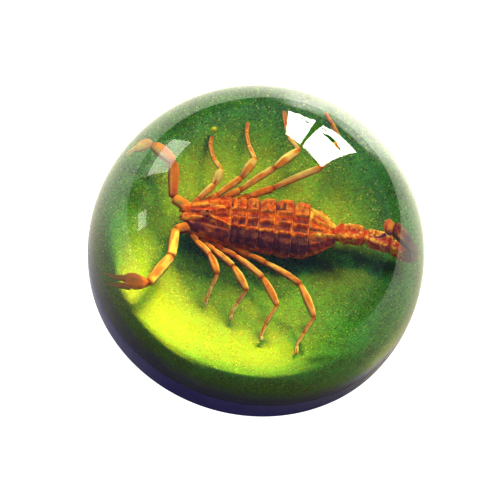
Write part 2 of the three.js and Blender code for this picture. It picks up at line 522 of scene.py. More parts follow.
def make_mottle_group() -> NodeTree:
    """Blotches and fine grain: a broad value, a fine value, and a height that dips into pits.

    Returns:
        The group.
    """
    group = shader_group("mottle", {"Blotch Scale": 900.0, "Grain Scale": 6000.0},
                         ["Blotch", "Grain", "Height"])
    board = NodeBoard(group)
    entry = board.node("NodeGroupInput")
    where = board.node("ShaderNodeTexCoord").outputs["Object"]
    blotch = board.node("ShaderNodeTexNoise", {
        "Vector": where, "Scale": entry.outputs["Blotch Scale"], "Detail": BLOTCH_DETAIL,
        "Roughness": BLOTCH_ROUGHNESS})
    grain = board.node("ShaderNodeTexNoise", {
        "Vector": where, "Scale": entry.outputs["Grain Scale"], "Detail": 2.0, "Roughness": 0.5})
    pits = board.node("ShaderNodeTexVoronoi", {"Vector": where, "Scale": entry.outputs["Grain Scale"]})
    height = board.maths("ADD", board.maths("MULTIPLY", grain.outputs["Fac"], 0.6),
                         board.maths("MULTIPLY", pits.outputs["Distance"], -0.5))
    board.node("NodeGroupOutput", {
        "Blotch": blotch.outputs["Fac"], "Grain": grain.outputs["Fac"], "Height": height})
    return group


def make_speck_group() -> NodeTree:
    """Glitter specks: a mask of small round flakes, and a random number for each flake.

    Returns:
        The group.
    """
    group = shader_group("glitter_specks", {"Scale": 2500.0, "Radius": 0.3, "Share": 0.5}, ["Mask", "Pick"])
    board = NodeBoard(group)
    entry = board.node("NodeGroupInput")
    where = board.node("ShaderNodeTexCoord").outputs["Object"]
    cells = board.node("ShaderNodeTexVoronoi", {"Vector": where, "Scale": entry.outputs["Scale"]})
    parts = board.node("ShaderNodeSeparateColor", {"Color": cells.outputs["Color"]})
    near = board.maths("LESS_THAN", cells.outputs["Distance"], entry.outputs["Radius"])
    kept = board.maths("LESS_THAN", parts.outputs["Red"], entry.outputs["Share"])
    board.node("NodeGroupOutput", {
        "Mask": board.maths("MULTIPLY", near, kept), "Pick": parts.outputs["Green"]})
    return group


@dataclass(frozen=True)
class ResinFinish:
    """Clear polished casting resin.

    Attributes:
        ior: How strongly it bends light.
        tint: Colour that it lets through.
        density: How fast it takes on that colour, per metre.
    """

    ior: float = 1.5
    tint: Colour = (0.86, 1.0, 0.62)
    density: float = 3.0

    def material(self) -> Material:
        """A plain see-through shader with a faint volume tint.

        Returns:
            The material.
        """
        material, board, shader, output = new_material("clear_resin")
        board.feed(shader, {"Base Color": rgba((1.0, 1.0, 1.0)), "Roughness": 0.0, "IOR": self.ior,
                            "Transmission Weight": 1.0})
        tint = board.node("ShaderNodeVolumeAbsorption", {
            "Color": rgba(self.tint), "Density": self.density})
        board.feed(output, {"Volume": tint.outputs["Volume"]})
        return material


@dataclass(frozen=True)
class DarkResinFinish:
    """The opaque dark blue-violet layer under the glitter.

    Attributes:
        colour: Its main colour.
        streak: Colour of its faint cloudy streaks.
        scales: Mottle scales of the cloudy streaks and of the polish, per metre.
        polish: Least and greatest roughness.
        mottle: The shared mottle group.
    """

    colour: Colour = (0.10, 0.07, 0.34)
    streak: Colour = (0.14, 0.1, 0.42)
    scales: Point2 = (120.0, 2500.0)
    polish: Point2 = (0.06, 0.16)
    mottle: NodeTree | None = None

    def material(self) -> Material:
        """A glossy dark shader with faint cloudy streaks.

        Returns:
            The material.
        """
        material, board, shader, _ = new_material("dark_resin")
        cloud = board.node("ShaderNodeGroup", {
            "Blotch Scale": self.scales[0], "Grain Scale": self.scales[1]}, node_tree=self.mottle)
        share = board.range(cloud.outputs["Blotch"], 0.45, 0.8)
        colour = board.mix(share, rgba(self.colour), rgba(self.streak))
        rough = board.range(cloud.outputs["Grain"], 0.3, 0.7, *self.polish)
        board.feed(shader, {"Base Color": colour, "Roughness": rough})
        return material


@dataclass(frozen=True)
class PaintedShadow:
    """A painted shadow: a darker oval patch in the glitter, with lengths in millimetres.

    Attributes:
        middle: X and Y of its middle.
        reach: Half of its length and of its width.
        turn: Angle of its length from +X, in degrees.
        strength: How far it darkens, from 0 to 1.
    """

    middle: Point2
    reach: Point2
    turn: float
    strength: float


@dataclass(frozen=True)
class GlitterFinish:
    """Green resin crowded with fine flakes, which fades to violet at its rim. The scorpion's shadows on it
    are painted in as darker patches.

    Attributes:
        deep: Colour of its darker ground.
        bright: Colour of its brighter ground.
        sheen: Colour of its gloss.
        rim: Colour at its rim.
        rim_span: Radii in metres between which the rim's colour comes in.
        rim_lean: Direction towards which the rim's colour reaches further in, times how much.
        rim_waver: How far noise moves the rim, in metres.
        shade: Colour of the painted shadows.
        painted_shadows: Painted shadows: darker patches under the trunk, the tail, the pincer and the
            knees.
        speck_sizes: Scale per metre, radius and share of the cells for each size of speck.
        speck_colours: Positions and colours of the ramp that colours the specks.
        scales: Mottle scales of the broad blotches and of the grain, per metre.
        roughness: Least and greatest roughness.
        ior: How glossy it is.
        mottle: The shared mottle group.
        specks: The shared speck group.
    """

    deep: Colour = (0.001, 0.085, 0.075)
    bright: Colour = (0.015, 0.34, 0.13)
    sheen: Colour = (0.95, 0.85, 0.01)
    rim: Colour = (0.10, 0.075, 0.42)
    rim_span: Point2 = (0.0315, 0.0355)
    rim_lean: Point = (-0.06, -0.047, 0.0)
    rim_waver: float = 0.003
    shade: Colour = (0.003, 0.02, 0.014)
    painted_shadows: tuple[PaintedShadow, ...] = (
        PaintedShadow((13.4, 1.4), (5.6, 2.7), -14.0, 0.9), PaintedShadow((18.6, 0.5), (5.2, 2.5), -8.0, 0.88),
        PaintedShadow((9.8, -0.6), (4.4, 2.8), -12.0, 0.88),
        PaintedShadow((16.5, -6.0), (6.8, 4.8), 20.0, 0.1), PaintedShadow((15.0, 11.5), (6.0, 5.0), 0.0, 0.35),
        PaintedShadow((3.7, 11.0), (3.2, 1.8), 30.0, 0.35), PaintedShadow((11.0, -18.2), (3.0, 1.2), 12.0, 0.8),
        PaintedShadow((7.9, -12.2), (1.3, 1.0), 0.0, 0.65), PaintedShadow((1.6, -11.6), (1.3, 1.0), 0.0, 0.55))
    speck_sizes: tuple[Point, ...] = ((4200.0, 0.42, 0.55), (3200.0, 0.2, 0.25))
    speck_colours: tuple[tuple[float, Colour], ...] = (
        (0.0, (0.0, 0.05, 0.03)), (0.35, (0.01, 0.22, 0.06)), (0.7, (0.06, 0.5, 0.08)),
        (0.9, (0.42, 0.5, 0.06)), (0.97, (0.6, 0.62, 0.35)))
    scales: Point2 = (260.0, 4200.0)
    roughness: Point2 = (0.26, 0.4)
    ior: float = 1.95
    mottle: NodeTree | None = None
    specks: NodeTree | None = None

    def shadowed(self, board: NodeBoard, where: Socket, noise: Socket, colour: Socket) -> Socket:
        """Darkens a colour under every painted shadow, with edges roughened by noise.

        Args:
            board: The material's nodes.
            where: Object coordinates.
            noise: A broad noise value from 0 to 1.
            colour: The colour to darken.

        Returns:
            The darkened colour.
        """
        ragged = board.range(noise, 0.3, 0.7, -0.15, 0.15)
        # Each cloud here is one painted shadow patch.
        for cloud in self.painted_shadows:
            placed = board.node("ShaderNodeMapping", {
                "Vector": where, "Location": (cloud.middle[0] * MM, cloud.middle[1] * MM, 0.0),
                "Rotation": (0.0, 0.0, math.radians(cloud.turn)),
                "Scale": (cloud.reach[0] * MM, cloud.reach[1] * MM, 1.0)}, vector_type="TEXTURE").outputs[0]
            far = board.maths("ADD", board.length(placed), ragged)
            share = board.range(far, 0.2, 1.15, cloud.strength, 0.0)
            colour = board.mix(share, colour, rgba(self.shade))
        return colour

    def material(self) -> Material:
        """Cloudy green under two sizes of coloured specks.

        Returns:
            The material.
        """
        material, board, shader, _ = new_material("green_glitter")
        cloud = board.node("ShaderNodeGroup", {
            "Blotch Scale": self.scales[0], "Grain Scale": self.scales[1]}, node_tree=self.mottle)
        broad = board.range(cloud.outputs["Blotch"], 0.35, 0.65, -0.25, 0.25)
        share = board.maths("ADD", board.range(cloud.outputs["Grain"], 0.36, 0.64), broad)
        colour = board.mix(share, rgba(self.deep), rgba(self.bright))
        for scale, radius, part in self.speck_sizes:
            speck = board.node("ShaderNodeGroup", {
                "Scale": scale, "Radius": radius, "Share": part}, node_tree=self.specks)
            tint = board.ramp(speck.outputs["Pick"], self.speck_colours)
            colour = board.mix(speck.outputs["Mask"], colour, tint)
        where = board.node("ShaderNodeTexCoord").outputs["Object"]
        noise = board.node("ShaderNodeTexNoise", {
            "Vector": where, "Scale": self.scales[0], "Detail": BLOTCH_DETAIL,
            "Roughness": BLOTCH_ROUGHNESS}).outputs["Fac"]
        flat = board.node("ShaderNodeVectorMath", {0: where, 1: (1.0, 1.0, 0.0)},
                          operation="MULTIPLY").outputs[0]
        lean = board.maths("MAXIMUM", board.dot(flat, self.rim_lean), 0.0)
        edge = board.maths("ADD", board.length(flat), lean)
        edge = board.maths("ADD", edge, board.maths("MULTIPLY", noise, self.rim_waver))
        rim = board.range(edge, *self.rim_span)
        # Painted shadows darken the ground colour here and the gloss tint below, where the scorpion's
        # shadows fall.
        colour = board.mix(rim, self.shadowed(board, where, noise, colour), rgba(self.rim))
        sheen = board.mix(rim, rgba(self.sheen), rgba(self.rim))
        rough = board.range(cloud.outputs["Grain"], 0.3, 0.7, *self.roughness)
        board.feed(shader, {
            "Base Color": colour, "Specular Tint": self.shadowed(board, where, noise, sheen),
            "Roughness": rough, "IOR": self.ior})
        return material


@dataclass(frozen=True)
class FlakeFinish:
    """Separate bright flakes that lie on the glitter layer.

    Attributes:
        metallic: How much of a metal they are.
        roughness: How soft their gleam is.
    """

    metallic: float = 0.35
    roughness: float = 0.25

    def material(self) -> Material:
        """A metallic shader coloured by each flake's own tone.

        Returns:
            The material.
        """
        material, board, shader, _ = new_material("flakes")
        tone = board.node("ShaderNodeAttribute", attribute_name="tone").outputs["Color"]
        board.feed(shader, {"Base Color": tone, "Metallic": self.metallic, "Roughness": self.roughness})
        return material


@dataclass(frozen=True)
class ShellFinish:
    """Dried scorpion shell: amber to red-brown, darker and paler where the tones say so; the tones hold its
    markings along with painted shade and painted highlights.

    Attributes:
        name: The material's name.
        base: Its main colour.
        deep: Colour of its blotches, and where it is warm.
        dark: Colour of its dark markings and of its painted shade.
        pale: Colour of its pale markings and of its painted highlights.
        blotch: Mottle scale of the blotches, per metre.
        grain: Mottle scale of the pits, per metre.
        roughness: Least and greatest roughness.
        pits: Strength of the pits, and their depth in metres.
        shine: Strength of its gloss.
        glow: Share of the light that passes through the shell.
        glow_reach: How far red, green and blue light pass, relative to glow_depth.
        glow_depth: That depth in metres.
        mottle: The shared mottle group.
    """

    name: str
    base: Colour
    deep: Colour
    dark: Colour
    pale: Colour
    blotch: float = 900.0
    grain: float = 7000.0
    roughness: Point2 = (0.3, 0.5)
    pits: Point2 = (0.35, 0.00006)
    shine: float = 0.14
    glow: float = 0.15
    glow_reach: Point = (1.0, 0.35, 0.1)
    glow_depth: float = 0.0006
    mottle: NodeTree | None = None

    def material(self) -> Material:
        """Blotched shell colour, moved by the dark, pale and warm tones, with fine pits.

        Returns:
            The material.
        """
        material, board, shader, _ = new_material(self.name)
        cloud = board.node("ShaderNodeGroup", {
            "Blotch Scale": self.blotch, "Grain Scale": self.grain}, node_tree=self.mottle)
        tone = board.node("ShaderNodeAttribute", attribute_name="tone").outputs["Color"]
        parts = board.node("ShaderNodeSeparateColor", {"Color": tone})
        share = board.range(cloud.outputs["Blotch"], 0.42, 0.60)
        ground = board.mix(share, rgba(self.base), rgba(self.deep))
        ground = board.mix(parts.outputs["Blue"], ground, rgba(self.deep))
        grain = board.range(cloud.outputs["Grain"], 0.35, 0.65, 0.75, 1.1)
        darkness = board.maths("MULTIPLY", parts.outputs["Red"], grain)
        ground = board.mix(darkness, ground, rgba(self.dark))
        ground = board.mix(parts.outputs["Green"], ground, rgba(self.pale))
        rough = board.range(cloud.outputs["Grain"], 0.3, 0.7, *self.roughness)
        bump = board.node("ShaderNodeBump", {
            "Height": cloud.outputs["Height"], "Strength": self.pits[0], "Distance": self.pits[1]})
        board.feed(shader, {
            "Base Color": ground, "Roughness": rough, "Normal": bump.outputs["Normal"],
            "Specular IOR Level": self.shine, "Subsurface Weight": self.glow,
            "Subsurface Radius": self.glow_reach, "Subsurface Scale": self.glow_depth})
        return material


@dataclass(frozen=True)
class GlossFinish:
    """One plain glossy colour: black for the eyes, unless told otherwise.

    Attributes:
        name: The material's name.
        colour: Its colour.
        roughness: How soft its gloss is.
    """

    name: str = "eye_gloss"
    colour: Colour = (0.008, 0.006, 0.006)
    roughness: float = 0.12

    def material(self) -> Material:
        """A glossy shader of one colour.

        Returns:
            The material.
        """
        material, board, shader, _ = new_material(self.name)
        board.feed(shader, {"Base Color": rgba(self.colour), "Roughness": self.roughness})
        return material


# ---- The dome ----


def node_heights(node: str) -> Point2:
    """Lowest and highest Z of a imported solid, in millimetres."""
    low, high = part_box(node)
    return low.z / MM, high.z / MM


def finished(shown: Object, slot: Slot, *nodes: str) -> Object:
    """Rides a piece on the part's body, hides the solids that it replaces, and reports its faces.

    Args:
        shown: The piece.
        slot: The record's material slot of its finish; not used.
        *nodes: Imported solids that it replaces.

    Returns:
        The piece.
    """
    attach(shown, BODY)
    if nodes:
        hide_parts(*nodes)
    LOG.info("%s: %d faces", shown.name, len(shown.data.polygons))
    return shown


@dataclass
class ResinDome:
    """The cast dome: dark base, glitter layer, loose flakes and the clear resin over them.

    Attributes:
        radius: Radius of the ball that the dome is cut from.
        base_top: Top of the dark layer.
        glitter_top: Top of the glitter layer.
        crown: Highest point of the dome.
        base_edge: Radius of the foot's rounded edge.
        floor_share: Radius of the flat discs, as a share of the ball's radius.
        sides: Columns round the axis.
        sunk: How far the clear resin's flat underside lies in the glitter.
        inset: How far that underside stays inside the wall.
        bubble: Middle of the air bubble.
        bubble_radius: Its radius.
        flake_seed: Picks the flakes' places.
        flake_count: How many loose flakes there are.
        flake_size: Mean radius of a flake.
        flake_tilt: Spread of their tilts, as rise over run.
        flake_margin: How far they stay inside the ball's radius.
        flake_rise: Least height of their middles over the glitter, and how much it varies.
        flake_lift: How far their corners may drop and rise from their middles.
        flake_colours: Their colours, with the share of the flakes that have each.
    """

    radius: float = field(default_factory=lambda: (CAD_BOX[1].x - CAD_BOX[0].x) / 2 / MM)
    base_top: float = field(default_factory=lambda: node_heights("base_layer")[1])
    glitter_top: float = field(default_factory=lambda: node_heights("glitter_layer")[1])
    crown: float = field(default_factory=lambda: node_heights("resin_upper_half")[1])
    base_edge: float = 0.4
    floor_share: float = 0.98
    sides: int = 256
    sunk: float = 0.25
    inset: float = 0.12
    bubble: Point = (-6.9, 16.6, 8.6)
    bubble_radius: float = 0.45
    flake_seed: int = 11
    flake_count: int = 3600
    flake_size: float = 0.048
    flake_tilt: float = 0.35
    flake_margin: float = 1.0
    flake_rise: Point2 = (0.03, 0.04)
    flake_lift: Point2 = (-0.028, 0.06)
    flake_colours: tuple[tuple[Colour, float], ...] = (
        ((0.5, 0.6, 0.1), 0.34), ((0.15, 0.6, 0.1), 0.26), ((0.5, 0.4, 0.1), 0.08),
        ((0.8, 0.85, 0.6), 0.14), ((0.03, 0.4, 0.08), 0.18))

    @property
    def centre(self) -> float:
        """Height of the ball's centre."""
        return self.crown - self.radius

    def wall(self, low: float, high: float, rows: int) -> Array:
        """Height and radius of rows on the ball between two heights, evenly along the arc."""
        angle = np.linspace(math.asin((low - self.centre) / self.radius),
                            math.asin(min(1.0, (high - self.centre) / self.radius)), rows)
        return np.stack([self.centre + self.radius * np.sin(angle),
                         self.radius * np.cos(angle)], axis=-1)

    def floor_rows(self, height: float, radius: float, rows: int) -> Array:
        """Rows of a flat disc from its middle out to a radius."""
        return np.stack([np.full(rows, height), np.linspace(0.02, 1.0, rows) * radius], axis=-1)

    def build_base(self, finish: DarkResinFinish) -> Object:
        """The dark layer, with its foot rounded off.

        Args:
            finish: Its finish.

        Returns:
            The piece.
        """
        foot = self.wall(0.0, self.base_top, 2)[0, 1]
        turn = np.linspace(0.1, 1.0, 6) * math.pi / 2
        edge = np.stack([self.base_edge * (1 - np.cos(turn)),
                         foot - self.base_edge * (1 - np.sin(turn))], axis=-1)
        rows = [self.floor_rows(0.0, foot - self.base_edge, 12), edge,
                self.wall(self.base_edge + 0.3, self.base_top, 18),
                self.floor_rows(self.base_top, self.radius * self.floor_share, 6)[::-1]]
        skin = turned(np.concatenate(rows), self.sides)
        shown = skin.to_object("dark_base", finish.material(), CAST_CREASE)
        return finished(shown, Slot.BASE, "base_layer")

    def build_glitter(self, finish: GlitterFinish) -> Object:
        """The thin green layer.

        Args:
            finish: Its finish.

        Returns:
            The piece.
        """
        rows = [self.floor_rows(self.base_top, self.radius * self.floor_share, 6),
                self.wall(self.base_top, self.glitter_top, 4),
                self.floor_rows(self.glitter_top, self.radius * self.floor_share, 24)[::-1]]
        skin = turned(np.concatenate(rows), self.sides)
        shown = skin.to_object("glitter_bed", finish.material(), CAST_CREASE)
        return finished(shown, Slot.GLITTER, "glitter_layer")

    def build_flakes(self, finish: FlakeFinish) -> Object:
        """Six-sided flakes scattered over the layer, each tilted and coloured at random.

        Args:
            finish: Their finish.

        Returns:
            The piece.
        """
        chance = np.random.default_rng(self.flake_seed)
        count = self.flake_count
        reach = (self.radius - self.flake_margin) * np.sqrt(chance.random(count))
        turn = chance.random(count) * 2 * math.pi
        least, spread = self.flake_rise
        centre = np.stack([reach * np.cos(turn), reach * np.sin(turn),
                           self.glitter_top + least + spread * chance.random(count)], axis=-1)
        size = self.flake_size * (0.6 + 0.8 * chance.random(count))
        spin = chance.random(count) * math.pi
        lean = chance.normal(0.0, self.flake_tilt, (count, 2))
        corner = np.arange(6) * math.pi / 3
        flat = np.stack([np.cos(corner + spin[:, None]), np.sin(corner + spin[:, None])], axis=-1)
        flat = flat * size[:, None, None]
        lift = np.clip((flat * np.tanh(lean)[:, None, :]).sum(axis=-1), *self.flake_lift)
        points = np.concatenate([centre[:, None, :2] + flat,
                                 centre[:, None, 2:] + lift[..., None]], axis=-1)
        start = np.arange(count)[:, None] * 6
        quads = np.concatenate([start + np.array([0, 1, 2, 3]), start + np.array([0, 3, 4, 5])])
        colours, odds = zip(*self.flake_colours)
        palette = np.array(colours)
        pick = chance.choice(len(palette), count, p=odds)
        tones = np.repeat(palette[pick][:, None, :], 6, axis=1).reshape(-1, 3)
        skin = Skin(points.reshape(-1, 3), quads, NO_TRIS, tones)
        return finished(skin.to_object("glitter_flakes", finish.material()), Slot.GLITTER)

    def build_resin(self, finish: ResinFinish) -> Object:
        """The clear resin as one casting, sunk a little into the glitter.

        Args:
            finish: Its finish.

        Returns:
            The piece.
        """
        low = self.glitter_top
        rim = self.wall(low, self.crown, 2)[0, 1]
        rows = [self.floor_rows(low - self.sunk, rim - self.inset, 6),
                np.array([[low - 0.02, rim - self.inset]]),
                self.wall(low, self.crown, 150)[:-1]]
        skin = turned(np.concatenate(rows), self.sides)
        shown = skin.to_object("clear_dome", finish.material(), CAST_CREASE)
        return finished(shown, Slot.RESIN, "resin_lower_half", "resin_upper_half")

    def build_bubble(self, finish: GlossFinish) -> Object:
        """The tiny air bubble sealed in the resin, drawn as an opaque glossy ball whose yellow-green colour
        is painted reflection.
        """
        skin = ball(self.bubble, (self.bubble_radius,) * 3, 18)
        return finished(skin.to_object("air_bubble", finish.material()), Slot.RESIN)


# ---- The scorpion ----


@dataclass(frozen=True)
class LimbShape:
    """Form of one limb segment.

    Attributes:
        depth: Half of its depth.
        flat: Its width as a share of its depth.
        root: Share of the depth at its near end.
        tip: Share of the depth at its far end.
        swell: How much fuller its middle is.
        bow: Height of its middle above the line of its joints, as a share of its length.
        keel: Height of its lengthwise ridges, as a share of its depth.
        pale: Strength of its painted highlights along its shoulder ridges.
        dark: Dark tone of the whole segment.
        sheen: Strength of the painted highlight streak along its top, as a share of pale.
    """

    depth: float
    flat: float = 0.75
    root: float = 0.8
    tip: float = 0.9
    swell: float = 0.12
    bow: float = 0.03
    keel: float = 0.06
    pale: float = 0.0
    dark: float = 0.0
    sheen: float = 0.25


def limb_tones(rings: Array, share: Array, angle: Array, shape: LimbShape, seed: int) -> Array:
    """Tones of a limb: painted highlights along its shoulder ridges and a broken painted highlight streak
    on top, painted shade on its flanks and underside, and darker joints.

    The painted highlights are stronger and the painted flank shade is fainter on the side that the
    section's angle starts from, where the light falls.

    Args:
        rings: Points of the surface.
        share: Share of the length for each row.
        angle: Turn round the section for each column.
        shape: The segment's form.
        seed: Picks its blots.

    Returns:
        Dark, pale and warm tone for each point.
    """
    level = np.sin(angle)
    blot = 0.5 + 0.5 * lattice_noise(rings, 0.8, seed + 2)
    fine = 0.5 + 0.5 * lattice_noise(rings, 0.28, seed + 3)
    body = smooth_step(0.05, 0.18, share) * smooth_step(0.98, 0.86, share)
    lengthwise = stacked(share * 2.2 + seed, 1.2 * np.cos(angle), 1.2 * level)
    broken = smooth_step(-0.25, 0.3, lattice_noise(lengthwise, 0.6, seed + 4))
    # Painted highlight: a broken pale streak along the top of the limb.
    streak = smooth_step(0.4, 0.9, level) * broken
    lit = smooth_step(-0.5, 0.4, np.cos(angle))
    # Painted highlight along the shoulder ridges, stronger on the lit side.
    shoulder_highlight = np.abs(np.sin(2 * angle)) ** 5 * smooth_step(0.0, 0.3, level)
    shoulder_highlight = shoulder_highlight * (0.6 + 0.8 * fine) * (0.3 + 0.7 * lit)
    # Painted shade: darker flanks, fainter on the lit side, which are also warmer.
    flank = smooth_step(0.55, 0.05, np.abs(level)) * (1.15 - 0.5 * lit)
    ends = hump(share, 0.0, 0.07) + hump(share, 1.0, 0.05)
    # Dark joints at both ends, and painted shade on the underside.
    dark = shape.dark * (0.6 + 0.6 * blot) + 0.3 * smooth_step(0.1, -0.9, level) + 0.6 * ends
    dark = dark + 0.85 * flank * (0.4 + 0.7 * blot) * body
    pale = shape.pale * (shape.sheen * streak + shoulder_highlight) * body
    warm = 0.45 * flank + 0.5 * ends + 0.3 * blot
    return np.clip(stacked(dark * (1 - pale), pale, warm), 0.0, 1.0)


def limb_segment(start: Array, end: Array, shape: LimbShape, rows: int, sides: int, seed: int,
                 overlap: float = 0.22) -> Skin:
    """One segment: an oval section carried along a bowed line, round at both ends.

    The half depth is depth x (root to tip) x (1 + swell sin(pi t)) with a knuckle near each end.
    Ridges stand at the section's four shoulders and are notched into grains along their length.

    Args:
        start: Its near joint.
        end: Its far joint.
        shape: Its form.
        rows: Rings along it.
        sides: Columns round it.
        seed: Picks its wrinkles.
        overlap: How far it reaches past both joints.

    Returns:
        The closed surface.
    """
    along = unit(end - start)
    near, far = start - along * overlap, end + along * overlap
    length = float(np.linalg.norm(far - near))
    path = bowed_path(near, far, shape.bow * length, rows)
    share = eased(rows)[:, None]
    knuckle = 1 + 0.1 * hump(share, 0.93, 0.06) + 0.08 * hump(share, 0.08, 0.05)
    girth = shape.depth * (shape.root + (shape.tip - shape.root) * share) * knuckle
    girth = girth * (1 + shape.swell * np.sin(math.pi * share))
    girth = girth * end_rounding(rows, min(0.4, shape.depth * 0.8 / length),
                                 min(0.4, shape.depth * 0.9 / length))[:, None]
    angle = circle_angles(sides)[None, :]
    shoulder = np.abs(np.sin(2 * angle)) ** 8
    notch = 0.65 + 0.35 * np.sin(share * length * 2 * math.pi / 0.32)
    body = smooth_step(0.06, 0.2, share) * smooth_step(0.96, 0.8, share)
    swell = 1 + shape.keel * shoulder * notch * body
    side = power(np.cos(angle), 0.9) * girth * shape.flat * swell
    rise = power(np.sin(angle), 0.9) * girth * swell
    rings = carried(path, side, rise)
    wrinkle = lattice_noise(rings, 0.55, seed) * 0.03 + lattice_noise(rings, 0.2, seed + 1) * 0.012
    outward = unit(rings - path[:, None])
    rings = rings + outward * (wrinkle * np.minimum(1.0, girth / 0.4))[..., None]
    return closed_rings(rings, limb_tones(rings, share, angle, shape, seed))


def horn(path: Array, start: float, end: float, sides: int, tone: Tone) -> Skin:
    """A tapering curved point, such as a finger, a claw or the sting.

    Args:
        path: Points along its middle.
        start: Its radius at its root.
        end: Its radius just before its tip.
        sides: Columns round it.
        tone: Its dark, pale and warm tone.

    Returns:
        The closed surface.
    """
    rows = len(path)
    share = eased(rows)[:, None]
    girth = (start + (end - start) * share**0.8) * end_rounding(rows, 0.06, 0.05)[:, None]
    angle = circle_angles(sides)[None, :]
    rings = carried(path, np.cos(angle) * girth, np.sin(angle) * girth)
    return closed_rings(rings, np.broadcast_to(np.array(tone), rings.shape))


def ball(centre: Point, radii: Point, rows: int = 16) -> Skin:
    """A closed ellipsoid.

    Args:
        centre: Its middle.
        radii: Its half sizes along X, Y and Z.
        rows: Rows from pole to pole, with twice as many columns.

    Returns:
        The closed surface.
    """
    angle = np.linspace(-math.pi / 2, math.pi / 2, rows)[1:-1]
    skin = turned(np.stack([np.sin(angle), np.cos(angle)], axis=-1), rows * 2)
    skin.points = skin.points * np.array(radii) + np.array(centre)
    return skin


@dataclass(frozen=True)
class Ridge:
    """A ridge of the back, mirrored about the middle line.

    Attributes:
        height: Its height; below 0 it is a furrow.
        width: Its half width.
        route: X and distance from the middle line of the points that it runs through.
    """

    height: float
    width: float
    route: tuple[Point2, ...]


@dataclass
class ScorpionTrunk:
    """Head shield, seven back plates, belly, eyes and jaws.

    Attributes:
        midline: Y of the trunk's centre plane.
        crest: Z of its widest line.
        snout: X of the head shield's front edge.
        shield_end: X of its back edge.
        plate_ends: X of each back plate's rear edge.
        outline: X, half width, rise of the back and drop of the belly.
        last_plate: Number of the last back plate, counted from 0.
        rows: Rings along the trunk.
        sides: Columns round it.
        squareness: Powers that square the section's width and its height; 1 is round.
        shield_ridges: Ridges and furrows of the head shield.
        end_ridges: Ridges and furrows of the last plate.
    """

    midline: float = 2.1
    crest: float = 10.7
    snout: float = -11.5
    shield_end: float = -4.8
    plate_ends: tuple[float, ...] = (-3.8, -2.5, -0.7, 1.7, 4.3, 6.8, 10.9)
    outline: tuple[tuple[float, float, float, float], ...] = (
        (-11.5, 1.6, 1.1, 0.9), (-10.6, 2.2, 1.5, 1.3), (-8.0, 3.0, 1.9, 1.6), (-5.6, 3.6, 2.1, 1.8),
        (-0.7, 4.1, 2.2, 2.0), (4.0, 4.4, 2.2, 2.1), (6.8, 4.1, 2.0, 1.9), (8.6, 3.1, 1.5, 1.5),
        (10.9, 1.2, 0.9, 0.9))
    last_plate: int = 6
    rows: int = 390
    sides: int = 232
    squareness: Point2 = (0.62, 0.8)
    shield_ridges: tuple[Ridge, ...] = (
        Ridge(0.2, 0.16, ((-10.6, 0.45), (-9.4, 0.5), (-8.9, 0.7))),
        Ridge(0.34, 0.2, ((-7.9, 0.45), (-6.6, 0.9), (-5.0, 1.5))),
        Ridge(0.2, 0.22, ((-7.4, 2.1), (-5.3, 2.4))),
        Ridge(0.45, 0.45, ((-8.9, 0.0), (-8.0, 0.0))),
        Ridge(-0.34, 0.34, ((-7.2, 0.0), (-5.0, 0.0))),
        Ridge(-0.26, 0.26, ((-10.6, 1.1), (-8.9, 1.15), (-7.4, 1.6))),
        Ridge(-0.14, 0.2, ((-6.8, 1.7), (-5.4, 2.0))))
    end_ridges: tuple[Ridge, ...] = (
        Ridge(0.36, 0.17, ((7.0, 1.35), (10.5, 0.55))),
        Ridge(0.4, 0.18, ((7.0, 2.7), (8.4, 2.3), (10.3, 1.05))),
        Ridge(0.2, 0.16, ((7.0, 0.0), (8.8, 0.0))),
        Ridge(-0.16, 0.2, ((7.4, 0.6), (9.8, 0.3))))

    def outline_at(self, x: Array, column: int) -> Array:
        """An outline column at each x, straight between the outline's rows and then softened.

        Args:
            x: Places along the trunk.
            column: 1 for the width, 2 for the rise, 3 for the drop.

        Returns:
            The column's value at each x.
        """
        table = np.array(self.outline)
        reach = np.array([-0.5, -0.25, 0.0, 0.25, 0.5])
        return np.mean([np.interp(x + step, table[:, 0], table[:, column]) for step in reach], axis=0)

    def turns(self) -> Array:
        """Angles round the section that split its edge into equal lengths.

        Returns:
            One angle for each column.
        """
        fine = np.linspace(0.0, 2 * math.pi, 8001)
        edge = np.stack([power(np.cos(fine), self.squareness[0]) * 4.0,
                         power(np.sin(fine), self.squareness[1]) * 2.1], axis=-1)
        length = np.concatenate([[0.0], np.cumsum(np.linalg.norm(np.diff(edge, axis=0), axis=1))])
        return np.interp(np.linspace(0.0, length[-1], self.sides, endpoint=False), length, fine)

    def plate_share(self, x: Array) -> tuple[Array, Array]:
        """For each x, the number of its back plate (-1 for the shield) and how far along it lies.

        Args:
            x: Places along the trunk.

        Returns:
            The number, and the share of the plate's length, at each x.
        """
        edges = np.array((self.snout, self.shield_end, *self.plate_ends))
        number = np.clip(np.searchsorted(edges, x, side="right") - 1, 0, len(edges) - 2)
        share = (x - edges[number]) / (edges[number + 1] - edges[number])
        return number - 1, np.clip(share, 0.0, 1.0)

    def ridge(self, x: Array, side: Array, route: Sequence[Point2], width: float) -> Array:
        """A ridge that follows a route: exp(-(distance / width)^2).

        Args:
            x: Places along the trunk.
            side: Places across it.
            route: X and side of the points that the ridge runs through.
            width: Its half width.

        Returns:
            Its height from 0 to 1 at each place.
        """
        best = np.full(np.broadcast(x, side).shape, 1e9)
        for (x0, s0), (x1, s1) in zip(route, route[1:]):
            run, rise = x1 - x0, s1 - s0
            share = np.clip(((x - x0) * run + (side - s0) * rise) / (run * run + rise * rise), 0, 1)
            best = np.minimum(best, np.hypot(x - x0 - share * run, side - s0 - share * rise))
        return np.exp(-((best / width) ** 2))

    def ridges(self, x: Array, away: Array, table: tuple[Ridge, ...]) -> Array:
        """All ridges of a table added up, in millimetres, at each x and distance from the middle."""
        return sum(line.height * self.ridge(x, away, line.route, line.width) for line in table)

